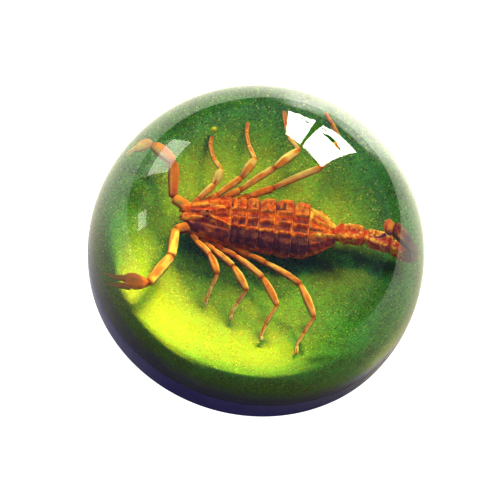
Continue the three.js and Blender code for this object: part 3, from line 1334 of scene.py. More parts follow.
    def shell(self) -> Skin:
        """The trunk as one closed surface of x and the turn round it.

        Each plate swells towards its rear edge and drops at the seam behind it. Three ridges run
        along the full plates, and the head shield and the last plate have slanting ones. Grains
        cover the back and fine pleats the soft sides.

        Returns:
            The closed surface.
        """
        x = np.linspace(self.snout, self.plate_ends[-1], self.rows)[:, None]
        angle = self.turns()[None, :]
        number, share = self.plate_share(x)
        wide = self.outline_at(x, 1)
        top, bottom = self.outline_at(x, 2), self.outline_at(x, 3)
        side = power(np.cos(angle), self.squareness[0]) * wide
        height = power(np.sin(angle), self.squareness[1])
        height = np.where(height > 0, height * top, height * bottom)
        back = smooth_step(0.1, 0.35, np.sin(angle))
        plated = smooth_step(-0.12, 0.1, np.sin(angle))
        plate = number >= 0
        step = 0.90 + 0.1 * smooth_step(0.0, 0.5, share) - 0.03 * smooth_step(0.95, 1.0, share)
        step = np.where(plate, step, 1.0)
        step = np.where(plated > 0.5, step, 0.5 + 0.5 * step)
        front = np.clip((x - self.snout) / 0.9, 0, 1)
        rear = np.clip((self.plate_ends[-1] - x) / 0.35, 0, 1)
        nose = np.sqrt(np.clip(1 - (1 - front) ** 2, 0, 1)) * 0.98 + 0.02
        stern = np.sqrt(np.clip(1 - (1 - rear) ** 2, 0, 1)) * 0.9 + 0.1
        side, height = side * step * nose * stern, height * step * nose * stern
        place = stacked(x, side, height)
        rough = 0.12 * grains(place, 0.32, 3) + 0.07 * lattice_noise(place, 0.6, 4)
        rough = rough + 0.05 * grains(place, 0.17, 9) - 0.08 * self.streaks(place) * (side > 0.3 * wide)
        lift = (self.relief(x, side, number, share, place) + rough * (0.5 + 0.6 * share)) * back
        lip = (0.09 * hump(share, 0.95, 0.05) - 0.07 * hump(share, 0.03, 0.05)) * plate * plated
        pleat = 0.07 * lattice_noise(place * np.array([0.35, 1.0, 2.2]), 0.5, 5) * (1 - plated)
        margin = 0.13 * hump(np.sin(angle), 0.1, 0.09) * plate
        normal = unit(stacked(np.zeros_like(side), np.cos(angle) / wide,
                              np.sin(angle) / np.maximum(top, 0.5)))
        rings = stacked(x, self.midline + side, self.crest + height)
        rings = rings + normal * (lift + lip + pleat + margin)[..., None]
        return closed_rings(rings, self.tones(x, side, angle, number, share, place))

    def streaks(self, place: Array) -> Array:
        """Short bars across the back, where noise stretched sideways is high, from 0 to 1."""
        return smooth_step(0.0, 0.6, lattice_noise(place * np.array([2.6, 0.8, 0.8]), 0.8, 15))

    def relief(self, x: Array, side: Array, number: Array, share: Array, place: Array) -> Array:
        """Ridges, furrows and the eye mound of the back, in millimetres above it.

        Args:
            x: Places along the trunk.
            side: Places across it.
            number: Number of the plate at each x.
            share: Share of its length at each x.
            place: Points of the smooth surface.

        Returns:
            The height of the relief at each point.
        """
        wide = self.outline_at(x, 1)
        across, away = side / wide, np.abs(side)
        full = (number >= 0) & (number < self.last_plate)
        run = smooth_step(0.06, 0.4, share) * smooth_step(1.0, 0.95, share)
        bead = 0.55 + 0.6 * grains(place, 0.4, 12)
        keels = hump(across, -0.01, 0.045) + hump(np.abs(across), 0.38, 0.05)
        keels = keels + 0.5 * hump(np.abs(across), 0.74, 0.05)
        trough = 0.16 * hump(np.abs(across), 0.17, 0.1) + 0.1 * hump(np.abs(across), 0.56, 0.1)
        plates = (0.38 * keels * bead - trough) * run - 0.08 * hump(share, 0.22, 0.08)
        shield = self.ridges(x, away, self.shield_ridges)
        shield = shield + 0.12 * hump(x, self.shield_end - 0.12, 0.12)
        last = self.ridges(x, away, self.end_ridges)
        last = last * (0.5 + 0.7 * grains(place, 0.4, 13)) + 0.16 * lattice_noise(place, 0.6, 17)
        return np.where(full, plates, np.where(number < 0, shield, last * smooth_step(6.8, 7.3, x)))

    def tones(self, x: Array, side: Array, angle: Array, number: Array, share: Array,
              place: Array) -> Array:
        """Dark, pale and warm tones of the shell.

        Plates have a painted shadow row on the left of the middle ridge, a painted shadow line beside the
        right keel, dark and pale blocks on the right, painted highlights on the keels and the right edge,
        and painted shade over the left flank. The left sides of the head shield and of the last plate carry
        painted shade, and the last plate's lumps carry painted highlights.

        Args:
            x: Places along the trunk.
            side: Places across it.
            angle: Turn round the section for each column.
            number: Number of the plate at each x.
            share: Share of its length at each x.
            place: Points of the smooth surface.

        Returns:
            Dark, pale and warm tone for each point.
        """
        across = side / self.outline_at(x, 1)
        full = (number >= 0) & (number < self.last_plate)
        top = smooth_step(0.1, 0.28, np.sin(angle))
        blot = 0.5 + 0.5 * lattice_noise(place, 0.75, 7)
        fine = 0.5 + 0.5 * lattice_noise(place, 0.3, 8)
        bars = self.streaks(place)
        run = plateau(share, 0.1, 0.9)
        front = smooth_step(0.6, 0.12, share)
        # Painted shade: a dark row on the left of the middle ridge, where it faces away from the light.
        dark = plateau(across, -0.30, -0.09, 0.04) * run * (0.55 + 0.6 * fine)
        dark = dark + hump(across, 0.12, 0.07) * run * (0.25 + 0.6 * blot)
        # Painted shade: a thin line beside the right keel.
        dark = dark + hump(across, 0.3, 0.035) * run * 0.6
        dark = dark + plateau(across, 0.44, 0.95) * (0.35 * front + 0.65 * bars) * (0.5 + 0.6 * fine)
        # Painted shade over the whole left flank.
        dark = dark + plateau(across, -1.2, -0.44) * (0.95 + 0.25 * front + 0.3 * (blot - 0.5))
        plates = np.where(full, dark * top, 0.0)
        dents = self.ridge(x, side, [(-10.6, 0.55), (-8.9, 0.35), (-7.5, 0.0)], 0.3)
        dents = dents + self.ridge(x, side, [(-8.9, -0.3), (-7.9, -0.75)], 0.42)
        dents = dents + 0.5 * self.ridge(x, side, [(-7.0, 0.1), (-5.6, 0.2)], 0.3) * (0.4 + fine)
        # Painted shade over the left side of the head shield.
        left = smooth_step(-0.2, -0.5, across) * (0.66 + 0.5 * (blot - 0.5))
        rear = self.ridge(x, side, [(-7.8, -0.3), (-6.6, -0.75), (-4.9, -1.5)], 0.3)
        shield = np.where(number < 0, (0.8 * dents + left) * top * (1 - 0.9 * rear), 0.0)
        seam = 0.85 * hump(share, 0.012, 0.035) * (number >= 0)
        end_spot = self.ridge(x, side, [(7.1, -0.35), (8.4, -0.35)], 0.28) * 0.9
        # Painted shade over the left side of the last plate, and a dark band on both sides.
        end_shade_and_bands = smooth_step(-0.35, -0.55, across) * 0.55 + hump(np.abs(side), 1.9, 0.22) * 0.3
        last = np.where(number == self.last_plate, (end_spot + end_shade_and_bands) * top, 0.0)
        dark = plates + shield + last + 0.8 * seam * top + 0.22 * smooth_step(0.55, 0.9, blot) * top
        dark = dark + 0.45 * plateau(np.sin(angle), -0.1, 0.12, 0.08) * plateau(x, -6.0, 7.0, 1.0)
        lip = hump(share, 0.975, 0.022) * (number < self.last_plate)
        pale = np.where(number < 0, 0.35, np.where(number < 3, 0.6, 0.22)) * lip * top
        pale = pale * smooth_step(0.25, 0.7, fine) * (0.35 + 0.65 * smooth_step(-0.6, -0.4, across))
        # Painted highlights on the keel tops and along the right edge, and pale blocks along the right row.
        highlights_and_blocks = 0.6 * hump(across, -0.38, 0.04) * run * smooth_step(0.45, 0.75, fine)
        highlights_and_blocks = highlights_and_blocks + plateau(across, 0.5, 0.9) * (1 - bars) * run * 0.4 * smooth_step(0.4, 0.8, blot)
        highlights_and_blocks = highlights_and_blocks + hump(across, 0.99, 0.06) * 0.7 + hump(across, 0.39, 0.06) * run * 0.5 * fine
        highlights_and_blocks = highlights_and_blocks + hump(across, 0.0, 0.04) * run * 0.35 * fine
        pale = pale + np.where(full, highlights_and_blocks, 0.0) * top
        speckled = smooth_step(0.3, 0.7, fine)
        keel = self.ridge(x, side, [(-10.2, 1.6), (-8.2, 2.0), (-6.0, 1.4)], 0.35) * 0.55 * speckled
        keel = keel + rear * 0.35 * speckled
        keel = keel + self.ridge(x, side, [(-10.6, -0.4), (-9.3, -0.5)], 0.16) * 0.5
        pale = pale + np.where(number < 0, keel, 0.0) * top
        ends = self.ridge(x, side, [(7.6, -1.3), (10.5, -0.55)], 0.2)
        ends = ends + self.ridge(x, side, [(7.2, 2.6), (8.4, 2.2), (10.3, 1.0)], 0.3)
        ends = ends + 0.5 * self.ridge(x, side, [(7.4, 1.2), (10.4, 0.5)], 0.16)
        # Pale lumps over the last plate away from its left flank, strongest on its right half: painted
        # highlights.
        ends = ends + 0.5 * smooth_step(0.5, 0.8, blot) * smooth_step(-0.5, -0.1, across)
        ends = ends + 0.9 * smooth_step(0.42, 0.62, blot) * plateau(across, 0.35, 0.95, 0.15)
        pale = pale + np.where(number == self.last_plate, ends, 0.0) * top * (0.35 + 0.9 * fine)
        belly = smooth_step(0.02, -0.22, np.sin(angle))
        warm = (0.15 + 0.7 * smooth_step(0.35, 0.75, blot)) * top + 0.95 * belly
        return np.clip(stacked(dark * (1 - pale), pale, warm), 0.0, 1.0)

    def jaws(self) -> Skin:
        """The two stubby jaws, each with a pair of short fingers.

        Returns:
            Both jaws as one surface.
        """
        parts = []
        for sign in (1.0, -1.0):
            root = np.array([self.snout + 1.2, self.midline + 0.72 * sign + 0.5, self.crest + 0.35])
            front = root + np.array([-1.5, -0.06 * sign, 0.05])
            pale = 0.6 if sign < 0 else 0.15
            shape = LimbShape(0.62, 1.05, 0.9, 0.95, 0.12, 0.1, 0.02, pale)
            parts.append(limb_segment(root, front, shape, 26, 24, 21 + int(sign)))
            for spread in (0.24, -0.24):
                start = front + np.array([0.1, spread, -0.1])
                tip = front + np.array([-0.3, spread * 0.5 - 0.1 * sign, -0.75])
                bend = front + np.array([-0.35, spread * 1.2, -0.15])
                parts.append(horn(curved_path(start, bend, tip, 12), 0.26, 0.07, 12, (0.3, 0.1, 0.5)))
        return Skin.joined(parts)

    def eyes(self) -> Skin:
        """Two middle eyes on their mound and three small ones at each front corner.

        Returns:
            All eyes as one surface.
        """
        top = self.crest + 2.2
        parts = [ball((-8.45, self.midline + 0.42 * sign, top), (0.26, 0.16, 0.2)) for sign in (1, -1)]
        for sign in (1, -1):
            parts += [ball((self.snout + 0.75 + 0.3 * i, self.midline + sign * (1.5 + 0.12 * i),
                            self.crest + 0.95 + 0.1 * i), (0.1, 0.1, 0.1), 10) for i in range(3)]
        return Skin.joined(parts)

    def build(self, finish: ShellFinish, gloss: GlossFinish) -> list[Object]:
        """The trunk with its jaws, and the eyes.

        Args:
            finish: The shell's finish.
            gloss: The eyes' finish.

        Returns:
            Both pieces.
        """
        body = Skin.joined([self.shell(), self.jaws()])
        trunk = body.to_object("scorpion_trunk", finish.material(), SHELL_CREASE)
        eyes = self.eyes().to_object("scorpion_eyes", gloss.material())
        return [finished(shown, Slot.SHELL, "scorpion") for shown in (trunk, eyes)]


@dataclass
class ScorpionLegs:
    """The eight walking legs, each a run of joints from its hip to its claws.

    Attributes:
        right: Joints of the four right legs, from front to back.
        left: Joints of the four left legs.
        shapes: Form of each segment of a right leg, from the hip out.
        near_shapes: Form of each segment of a left leg.
    """

    right: tuple[tuple[Point, ...], ...] = (
        ((-9.8, 3.6, 9.7), (-9.7, 4.9, 10.0), (-9.3, 5.4, 10.6), (-7.3, 7.4, 11.5), (-6.4, 9.7, 12.0),
         (-7.4, 11.7, 10.9), (-7.5, 14.2, 9.2), (-7.0, 15.7, 7.8)),
        ((-8.6, 4.2, 9.6), (-7.9, 5.5, 10.0), (-6.7, 6.2, 10.6), (-3.5, 8.8, 11.7), (-1.7, 11.7, 12.2),
         (-2.4, 14.2, 10.4), (-2.6, 16.3, 9.0), (-2.3, 18.0, 7.8)),
        ((-6.8, 4.6, 9.6), (-5.6, 6.1, 10.2), (-3.5, 7.2, 10.9), (1.0, 10.5, 12.6), (4.3, 13.6, 12.8),
         (3.0, 15.8, 10.6), (2.5, 17.9, 9.1), (2.2, 19.9, 7.8)),
        ((-5.2, 5.0, 9.6), (-2.0, 6.6, 10.4), (1.1, 8.0, 11.0), (7.5, 11.2, 13.0), (9.6, 15.6, 12.3),
         (9.3, 17.3, 10.6), (8.5, 18.8, 9.2), (7.5, 20.2, 7.8)))
    left: tuple[tuple[Point, ...], ...] = (
        ((-9.6, 0.6, 9.7), (-10.1, -0.4, 10.0), (-9.5, -1.5, 10.5), (-7.6, -3.9, 11.3), (-6.3, -7.3, 11.5),
         (-6.8, -8.5, 10.2), (-7.3, -10.0, 8.6), (-7.4, -10.6, 7.8)),
        ((-8.6, -0.3, 9.6), (-8.0, -1.6, 10.0), (-6.9, -2.7, 10.6), (-4.0, -5.7, 11.7), (-1.7, -9.6, 11.6),
         (-2.7, -10.9, 9.9), (-3.4, -12.2, 8.5), (-3.4, -12.8, 7.8)),
        ((-7.0, -0.8, 9.6), (-5.5, -2.3, 10.2), (-3.6, -3.4, 10.9), (0.5, -7.4, 12.4), (3.2, -11.6, 11.6),
         (1.9, -13.9, 9.7), (1.4, -15.4, 8.4), (1.5, -16.0, 7.8)),
        ((-5.2, -0.8, 9.6), (-1.6, -2.7, 10.3), (0.9, -3.9, 10.9), (6.3, -7.8, 12.6), (9.2, -13.0, 11.6),
         (8.0, -15.0, 9.8), (7.2, -16.7, 8.5), (7.3, -18.0, 7.8)))
    shapes: tuple[LimbShape, ...] = (
        LimbShape(0.72, 0.9, 0.9, 0.95, 0.05, 0.0, 0.02, 0.0, 0.75),
        LimbShape(0.56, 0.95, 0.7, 0.95, 0.15, 0.08, 0.04, 0.5, 0.3),
        LimbShape(0.54, 1.0, 0.6, 0.82, 0.25, 0.04, 0.1, 0.95, 0.12, 0.5),
        LimbShape(0.6, 1.12, 0.46, 0.55, 0.95, 0.06, 0.12, 1.0, 0.08, 0.6),
        LimbShape(0.34, 1.0, 0.75, 0.8, 0.25, 0.0, 0.06, 0.9, 0.15, 0.5),
        LimbShape(0.3, 1.0, 0.85, 0.8, 0.15, 0.0, 0.03, 0.5, 0.45, 0.4),
        LimbShape(0.29, 1.0, 0.85, 0.85, 0.2, 0.0, 0.03, 0.4, 0.5, 0.4))
    near_shapes: tuple[LimbShape, ...] = (
        LimbShape(0.66, 0.9, 0.9, 0.95, 0.05, 0.0, 0.02, 0.0, 0.8),
        LimbShape(0.46, 0.95, 0.75, 0.95, 0.15, 0.08, 0.04, 0.5, 0.45, 0.1),
        LimbShape(0.52, 1.0, 0.62, 0.84, 0.25, 0.04, 0.1, 0.95, 0.2, 0.3),
        LimbShape(0.56, 1.1, 0.48, 0.55, 0.95, 0.06, 0.12, 0.95, 0.3, 0.25),
        LimbShape(0.35, 1.0, 0.75, 0.8, 0.25, 0.0, 0.06, 0.85, 0.2),
        LimbShape(0.32, 1.0, 0.85, 0.8, 0.15, 0.0, 0.03, 0.9, 0.15, 0.8),
        LimbShape(0.31, 1.0, 0.9, 0.85, 0.2, 0.0, 0.03, 1.0, 0.0, 1.2))

    def leg(self, joints: tuple[Point, ...], shapes: tuple[LimbShape, ...], seed: int) -> Skin:
        """One leg and its two claws.

        Args:
            joints: Its joints from hip to claws.
            shapes: Form of each segment.
            seed: Picks its wrinkles.

        Returns:
            The leg as one surface.
        """
        knots = [np.array(joint) for joint in joints]
        parts = [limb_segment(knots[i], knots[i + 1], shape, 28, 18, seed * 31 + i, 0.16)
                 for i, shape in enumerate(shapes)]
        heading = unit(knots[-1] - knots[-2])
        aside = unit(np.cross(UP, heading))
        for sign in (1.0, -1.0):
            bend = knots[-1] + heading * 0.22 + aside * 0.16 * sign
            tip = knots[-1] + heading * 0.22 + aside * 0.22 * sign - UP * 0.12
            parts.append(horn(curved_path(knots[-1], bend, tip, 8), 0.07, 0.02, 8, (0.2, 0.6, 0.0)))
        return Skin.joined(parts)

    def build(self, finish: ShellFinish) -> Object:
        """All eight legs as one piece.

        Args:
            finish: The shell's finish.

        Returns:
            The piece.
        """
        legs = [self.leg(joints, self.shapes, 5 + i) for i, joints in enumerate(self.right)]
        legs += [self.leg(joints, self.near_shapes, 9 + i) for i, joints in enumerate(self.left)]
        shown = Skin.joined(legs).to_object("scorpion_legs", finish.material(), SHELL_CREASE)
        return finished(shown, Slot.SHELL, "scorpion")


@dataclass(frozen=True)
class PincerShape:
    """Form of one pincer.

    Attributes:
        bend: Middle of the palm's curved centre line.
        split: Where the palm ends between the fingers.
        spread: Half width of the palm.
        depth: Half depth of the palm.
        fingers: Root, bend and tip of each finger.
        finger: Radius of a finger at its root.
        tone: Dark, pale and warm tone.
    """

    bend: Point
    split: Point
    spread: float
    depth: float
    fingers: tuple[tuple[Point, Point, Point], ...]
    finger: float
    tone: Tone


@dataclass
class ScorpionArms:
    """The two arms, each of three segments and a slender pincer.

    Attributes:
        right: Joints of the right arm, from its root to its wrist.
        left: Joints of the left arm.
        right_shapes: Form of each segment of the right arm.
        left_shapes: Form of each segment of the left arm.
        right_pincer: Form of the right pincer.
        left_pincer: Form of the left pincer.
        palm_rows: Rings along a palm.
        palm_sides: Columns round it.
    """

    right: tuple[Point, ...] = (
        (-10.0, 3.3, 10.3), (-13.3, 4.9, 11.1), (-13.6, 10.3, 12.0), (-17.3, 13.2, 12.0))
    left: tuple[Point, ...] = (
        (-10.0, 0.9, 10.3), (-12.9, -0.3, 11.0), (-13.8, -5.4, 11.6), (-18.0, -11.0, 11.6))
    right_shapes: tuple[LimbShape, ...] = (
        LimbShape(0.82, 0.95, 0.9, 0.9, 0.1, 0.05, 0.03, 0.5, 0.0),
        LimbShape(0.86, 1.1, 0.58, 0.7, 0.36, 0.02, 0.09, 0.3, 0.5, 0.0),
        LimbShape(0.95, 1.1, 0.62, 0.66, 0.34, 0.05, 0.09, 0.7, 0.05))
    left_shapes: tuple[LimbShape, ...] = (
        LimbShape(0.82, 0.95, 0.9, 0.9, 0.1, 0.05, 0.03, 0.2, 0.6),
        LimbShape(0.76, 1.05, 0.8, 0.88, 0.16, 0.02, 0.09, 1.0, 0.0, 0.9),
        LimbShape(0.98, 1.08, 0.62, 0.66, 0.36, 0.06, 0.1, 0.95, 0.05, 0.8))
    right_pincer: PincerShape = PincerShape(
        (-19.1, 13.5, 12.0), (-21.2, 13.0, 11.7), 1.15, 0.65,
        (((-20.2, 13.0, 11.8), (-21.6, 12.9, 11.6), (-22.6, 12.1, 11.2)),
         ((-20.3, 13.6, 11.8), (-22.0, 13.4, 11.7), (-23.1, 12.6, 11.3))), 0.5, (0.0, 0.75, 0.4))
    left_pincer: PincerShape = PincerShape(
        (-20.6, -11.1, 11.5), (-23.0, -11.2, 11.2), 1.6, 0.8,
        (((-21.6, -10.5, 11.2), (-25.2, -11.3, 11.1), (-28.6, -10.7, 11.0)),
         ((-21.7, -11.9, 11.0), (-25.6, -12.8, 10.9), (-28.6, -12.8, 10.8))), 0.8, (0.0, 0.12, 1.0))
    palm_rows: int = 64
    palm_sides: int = 48

    def palm(self, wrist: Array, shape: PincerShape, seed: int) -> Skin:
        """A flat leaf-shaped palm, narrow at the wrist and fullest past its middle.

        Args:
            wrist: The arm's last joint.
            shape: The pincer's form.
            seed: Picks its blots.

        Returns:
            The closed surface.
        """
        bend, split = np.array(shape.bend), np.array(shape.split)
        path = curved_path(wrist, 2 * bend - (wrist + split) / 2, split, self.palm_rows)
        share = eased(self.palm_rows)[:, None]
        _, over = frames_along(path)
        leaf = np.interp(share, (0.0, 0.1, 0.3, 0.55, 0.8, 1.0), (0.4, 0.5, 0.82, 1.0, 0.9, 0.6))
        girth = leaf * end_rounding(self.palm_rows, 0.06, 0.14)[:, None]
        angle = circle_angles(self.palm_sides)[None, :]
        ridges = 1 + 0.05 * np.abs(np.cos(4 * angle)) ** 6 * smooth_step(0.1, 0.3, share)
        side = np.cos(angle) * girth * shape.spread * ridges
        rise = np.sin(angle) * girth * shape.depth * ridges
        rings = carried(path, side, rise)
        rings = rings + 0.04 * lattice_noise(rings, 0.5, seed)[..., None] * over[:, None]
        blot = 0.5 + 0.5 * lattice_noise(rings, 0.7, seed)
        dark, pale, warm = shape.tone
        dark = dark + 0.6 * hump(share, 0.0, 0.1) + 0.35 * smooth_step(0.55, 0.9, blot)
        pale = pale * smooth_step(0.1, 0.8, np.sin(angle)) * (0.4 + 0.8 * blot)
        pale = pale * smooth_step(0.05, 0.2, share)
        warm = warm * (0.75 + 0.25 * share)
        return closed_rings(rings, np.clip(stacked(dark, pale, warm), 0.0, 1.0))

    def arm(self, joints: tuple[Point, ...], shapes: tuple[LimbShape, ...], pincer: PincerShape,
            seed: int) -> Skin:
        """One arm from its root to its pincer, whose two fingers stand a little open.

        Args:
            joints: Its joints from root to wrist.
            shapes: Form of each segment.
            pincer: Form of its pincer.
            seed: Picks its wrinkles.

        Returns:
            The arm as one surface.
        """
        knots = [np.array(joint) for joint in joints]
        parts = [limb_segment(knots[i], knots[i + 1], shape, 44, 36, seed + i, 0.12)
                 for i, shape in enumerate(shapes)]
        parts.append(self.palm(knots[-1], pincer, seed + 7))
        for root, bend, tip in (map(np.array, finger) for finger in pincer.fingers):
            parts.append(horn(curved_path(root, bend, tip, 40), pincer.finger, 0.1, 20, pincer.tone))
        return Skin.joined(parts)

    def build(self, finish: ShellFinish) -> Object:
        """Both arms as one piece.

        Args:
            finish: The shell's finish.

        Returns:
            The piece.
        """
        arms = [self.arm(self.right, self.right_shapes, self.right_pincer, 61),
                self.arm(self.left, self.left_shapes, self.left_pincer, 83)]
        shown = Skin.joined(arms).to_object("scorpion_arms", finish.material(), SHELL_CREASE)
        return finished(shown, Slot.SHELL, "scorpion")


@dataclass
class ScorpionTail:
    """Five ridged rings, the poison bulb and the sting.

    Attributes:
        joints: Joints from the trunk to the bulb.
        widths: Half width of each ring.
        darkness: Dark tone of each ring at its front and at its rear.
        bulb_end: Where the bulb ends.
        bulb_width: Half width of the bulb.
        sting: Root, bend and tip of the sting.
        rows: Rings along each tail ring.
        sides: Columns round it.
    """

    joints: tuple[Point, ...] = (
        (10.4, 2.3, 10.9), (14.9, 2.4, 11.3), (19.5, 1.2, 11.8), (23.7, -0.1, 12.1),
        (26.3, -0.6, 14.6), (20.9, 1.95, 17.2))
    widths: tuple[float, ...] = (1.35, 1.3, 1.3, 1.3, 1.22)
    darkness: tuple[Point2, ...] = ((0.0, 0.0), (0.0, 0.1), (0.05, 0.5), (0.6, 1.0), (1.0, 0.6))
    bulb_end: Point = (18.9, 1.65, 16.9)
    bulb_width: float = 1.16
    sting: tuple[Point, Point, Point] = ((19.2, 0.9, 16.3), (18.2, -0.1, 16.1), (16.9, 0.3, 15.9))
    rows: int = 72
    sides: int = 72

    def ring(self, start: Array, end: Array, width: float, dark: Point2, seed: int) -> Skin:
        """One tail ring: a ridged section, waisted at its front and flared at its rear.

        The radius is width x waist(t) x (1 + 0.2 crest(turn) - 0.2 groove(turn)), where the two
        crests stand 42 degrees either side of the top and rise towards the rear.

        Args:
            start: Its front joint.
            end: Its rear joint.
            width: Its half width.
            dark: Dark tone at its front and at its rear.
            seed: Picks its wrinkles.

        Returns:
            The closed surface.
        """
        along = unit(end - start)
        path = bowed_path(start - along * 0.25, end + along * 0.3, 0.0, self.rows)
        share = eased(self.rows)[:, None]
        waist = 0.68 + 0.34 * smooth_step(0.04, 0.4, share) * smooth_step(1.04, 0.84, share)
        girth = width * waist * end_rounding(self.rows, 0.08, 0.07)[:, None]
        angle = circle_angles(self.sides)[None, :]
        degrees = np.degrees(angle)
        body = smooth_step(0.06, 0.22, share) * smooth_step(0.98, 0.88, share)
        crest = hump(degrees, 48.0, 13.0) + hump(degrees, 132.0, 13.0)
        flank = hump(degrees, 2.0, 10.0) + hump(degrees, 178.0, 10.0) + hump(degrees, 362.0, 10.0)
        under = hump(degrees, 240.0, 12.0) + hump(degrees, 300.0, 12.0)
        groove = hump(degrees, 90.0, 22.0)
        place = carried(path, np.cos(angle) * girth, np.sin(angle) * girth)
        bead = 0.55 + 0.6 * grains(place, 0.45, seed + 3)
        swell = 1 + body * ((0.14 + 0.16 * share) * crest * bead + 0.09 * flank * bead + 0.06 * under
                            - 0.2 * groove * (0.6 + 0.4 * share))
        side, rise = np.cos(angle) * girth * 1.02 * swell, np.sin(angle) * girth * swell
        rings = carried(path, side, rise)
        outward = unit(rings - path[:, None])
        rough = 0.12 * grains(rings, 0.34, seed) + 0.13 * lattice_noise(rings, 0.8, seed + 1)
        rings = rings + outward * (rough * body)[..., None]
        blot = 0.5 + 0.5 * lattice_noise(rings, 0.7, seed + 2)
        fine = 0.5 + 0.5 * lattice_noise(rings, 0.3, seed + 4)
        ends = hump(share, 0.02, 0.05) + hump(share, 0.98, 0.04)
        deep = dark[0] + (dark[1] - dark[0]) * smooth_step(0.4, 0.9, share)
        vein = smooth_step(0.16, 0.02, np.abs(lattice_noise(rings, 1.1, seed + 6)))
        near = hump(degrees, 142.0, 17.0)
        # Dark tone: the ring's own darkness and veins, plus painted shade in the groove between the crests
        # and on the underside; the left crest is kept unshaded.
        shade = deep + (1 - deep) * (0.25 * groove * blot + 0.2 * vein) * (1 - near) * body
        shade = shade + 0.3 * ends + 0.15 * smooth_step(-0.1, -0.7, np.sin(angle))
        # Painted highlights along the crests, and pale flecks.
        ridge = hump(degrees, 48.0, 9.0) + 0.6 * hump(degrees, 118.0, 9.0)
        pale = 1.1 * ridge * smooth_step(0.25, 0.7, fine) + 0.25 * smooth_step(0.6, 0.9, fine)
        # Painted highlights: pale lumps on the upper crests.
        lump_highlight = smooth_step(0.5, 0.75, blot) * smooth_step(0.3, 0.75, fine)
        lump_highlight = lump_highlight * plateau(degrees, 40.0, 110.0, 15.0)
        pale = (pale + 0.6 * lump_highlight) * body * (1 - deep)
        warm = (0.1 + 0.5 * blot + 0.9 * vein + 0.7 * groove) * (1 - near) + 0.8 * ends
        return closed_rings(rings, np.clip(stacked(shade, pale, warm), 0.0, 1.0))

    def build(self, finish: ShellFinish) -> Object:
        """The whole tail as one piece.

        Args:
            finish: The shell's finish.

        Returns:
            The piece.
        """
        knots = [np.array(joint) for joint in self.joints]
        parts = [self.ring(knots[i], knots[i + 1], width, self.darkness[i], 101 + 5 * i)
                 for i, width in enumerate(self.widths)]
        bulb = LimbShape(self.bulb_width, 1.0, 0.7, 0.75, 0.42, 0.0, 0.16, 0.12, 0.2, 0.1)
        parts.append(limb_segment(knots[-1], np.array(self.bulb_end), bulb, 48, 48, 140))
        root, bend, tip = (np.array(point) for point in self.sting)
        parts.append(horn(curved_path(root, bend, tip, 28), 0.34, 0.05, 18, (0.75, 0.0, 0.9)))
        shown = Skin.joined(parts).to_object("scorpion_tail", finish.material(), SHELL_CREASE)
        return finished(shown, Slot.SHELL, "scorpion")


# ---- The studio ----


@dataclass(frozen=True)
class Pane:
    """An upright rectangle of light that faces the dome. Its lengths are in metres.

    Attributes:
        start: X and Y of one upright edge.
        end: X and Y of the other.
        foot: Height of its lower edge.
        top: Height of its upper edge.
        radiance: Its brightness.
        colour: Its colour.
        mirrored: Whether it shows as a reflection on the resin.
        through: Whether it lights what is rough and what lies in the resin.
    """

    start: Point2
    end: Point2
    foot: float
    top: float
    radiance: float
    colour: Colour = (1.0, 0.97, 0.9)
    mirrored: bool = True
    through: bool = True

    def hang(self, name: str) -> None:
        """Adds the light to the scene.

        Args:
            name: Its name.
        """
        start, end = (Vector((*point, (self.foot + self.top) / 2)) for point in (self.start, self.end))
        across = (end - start).normalized()
        middle = (start + end) / 2
        inward = Vector((across.y, -across.x, 0.0))
        if inward.dot(middle) > 0:
            inward = -inward
        rise = Vector(UP)
        side = rise.cross(-inward)
        light = bpy.data.lights.new(name, "AREA")
        light.shape = "RECTANGLE"
        light.size = (end - start).length
        light.size_y = self.top - self.foot
        light.energy = self.radiance * math.pi * light.size * light.size_y
        light.color = self.colour
        shown = bpy.data.objects.new(name, light)
        facing = Matrix((side, rise, -inward)).transposed().to_4x4()
        shown.matrix_world = Matrix.Translation(middle) @ facing
        shown.visible_glossy = self.mirrored
        shown.visible_transmission = shown.visible_diffuse = self.through
        bpy.context.scene.collection.objects.link(shown)


def softbox(first: float, last: float, foot: float, top: float, radiance: float,
            reach: float = 0.9, colour: Colour = (1.0, 0.91, 0.12)) -> Pane:
    """A yellow lamp that faces the dome's axis and doesn't show as a reflection.

    Args:
        first: Bearing of one edge, in degrees from +Y towards +X.
        last: Bearing of the other edge.
        foot: Height of its lower edge.
        top: Height of its upper edge.
        radiance: Its brightness.
        reach: Distance of both edges from the dome's axis.
        colour: Its colour.

    Returns:
        The lamp.
    """
    bearings = (math.radians(90.0 - turn) for turn in (first, last))
    start, end = ((reach * math.cos(bearing), reach * math.sin(bearing)) for bearing in bearings)
    return Pane(start, end, foot, top, radiance, colour, mirrored=False)


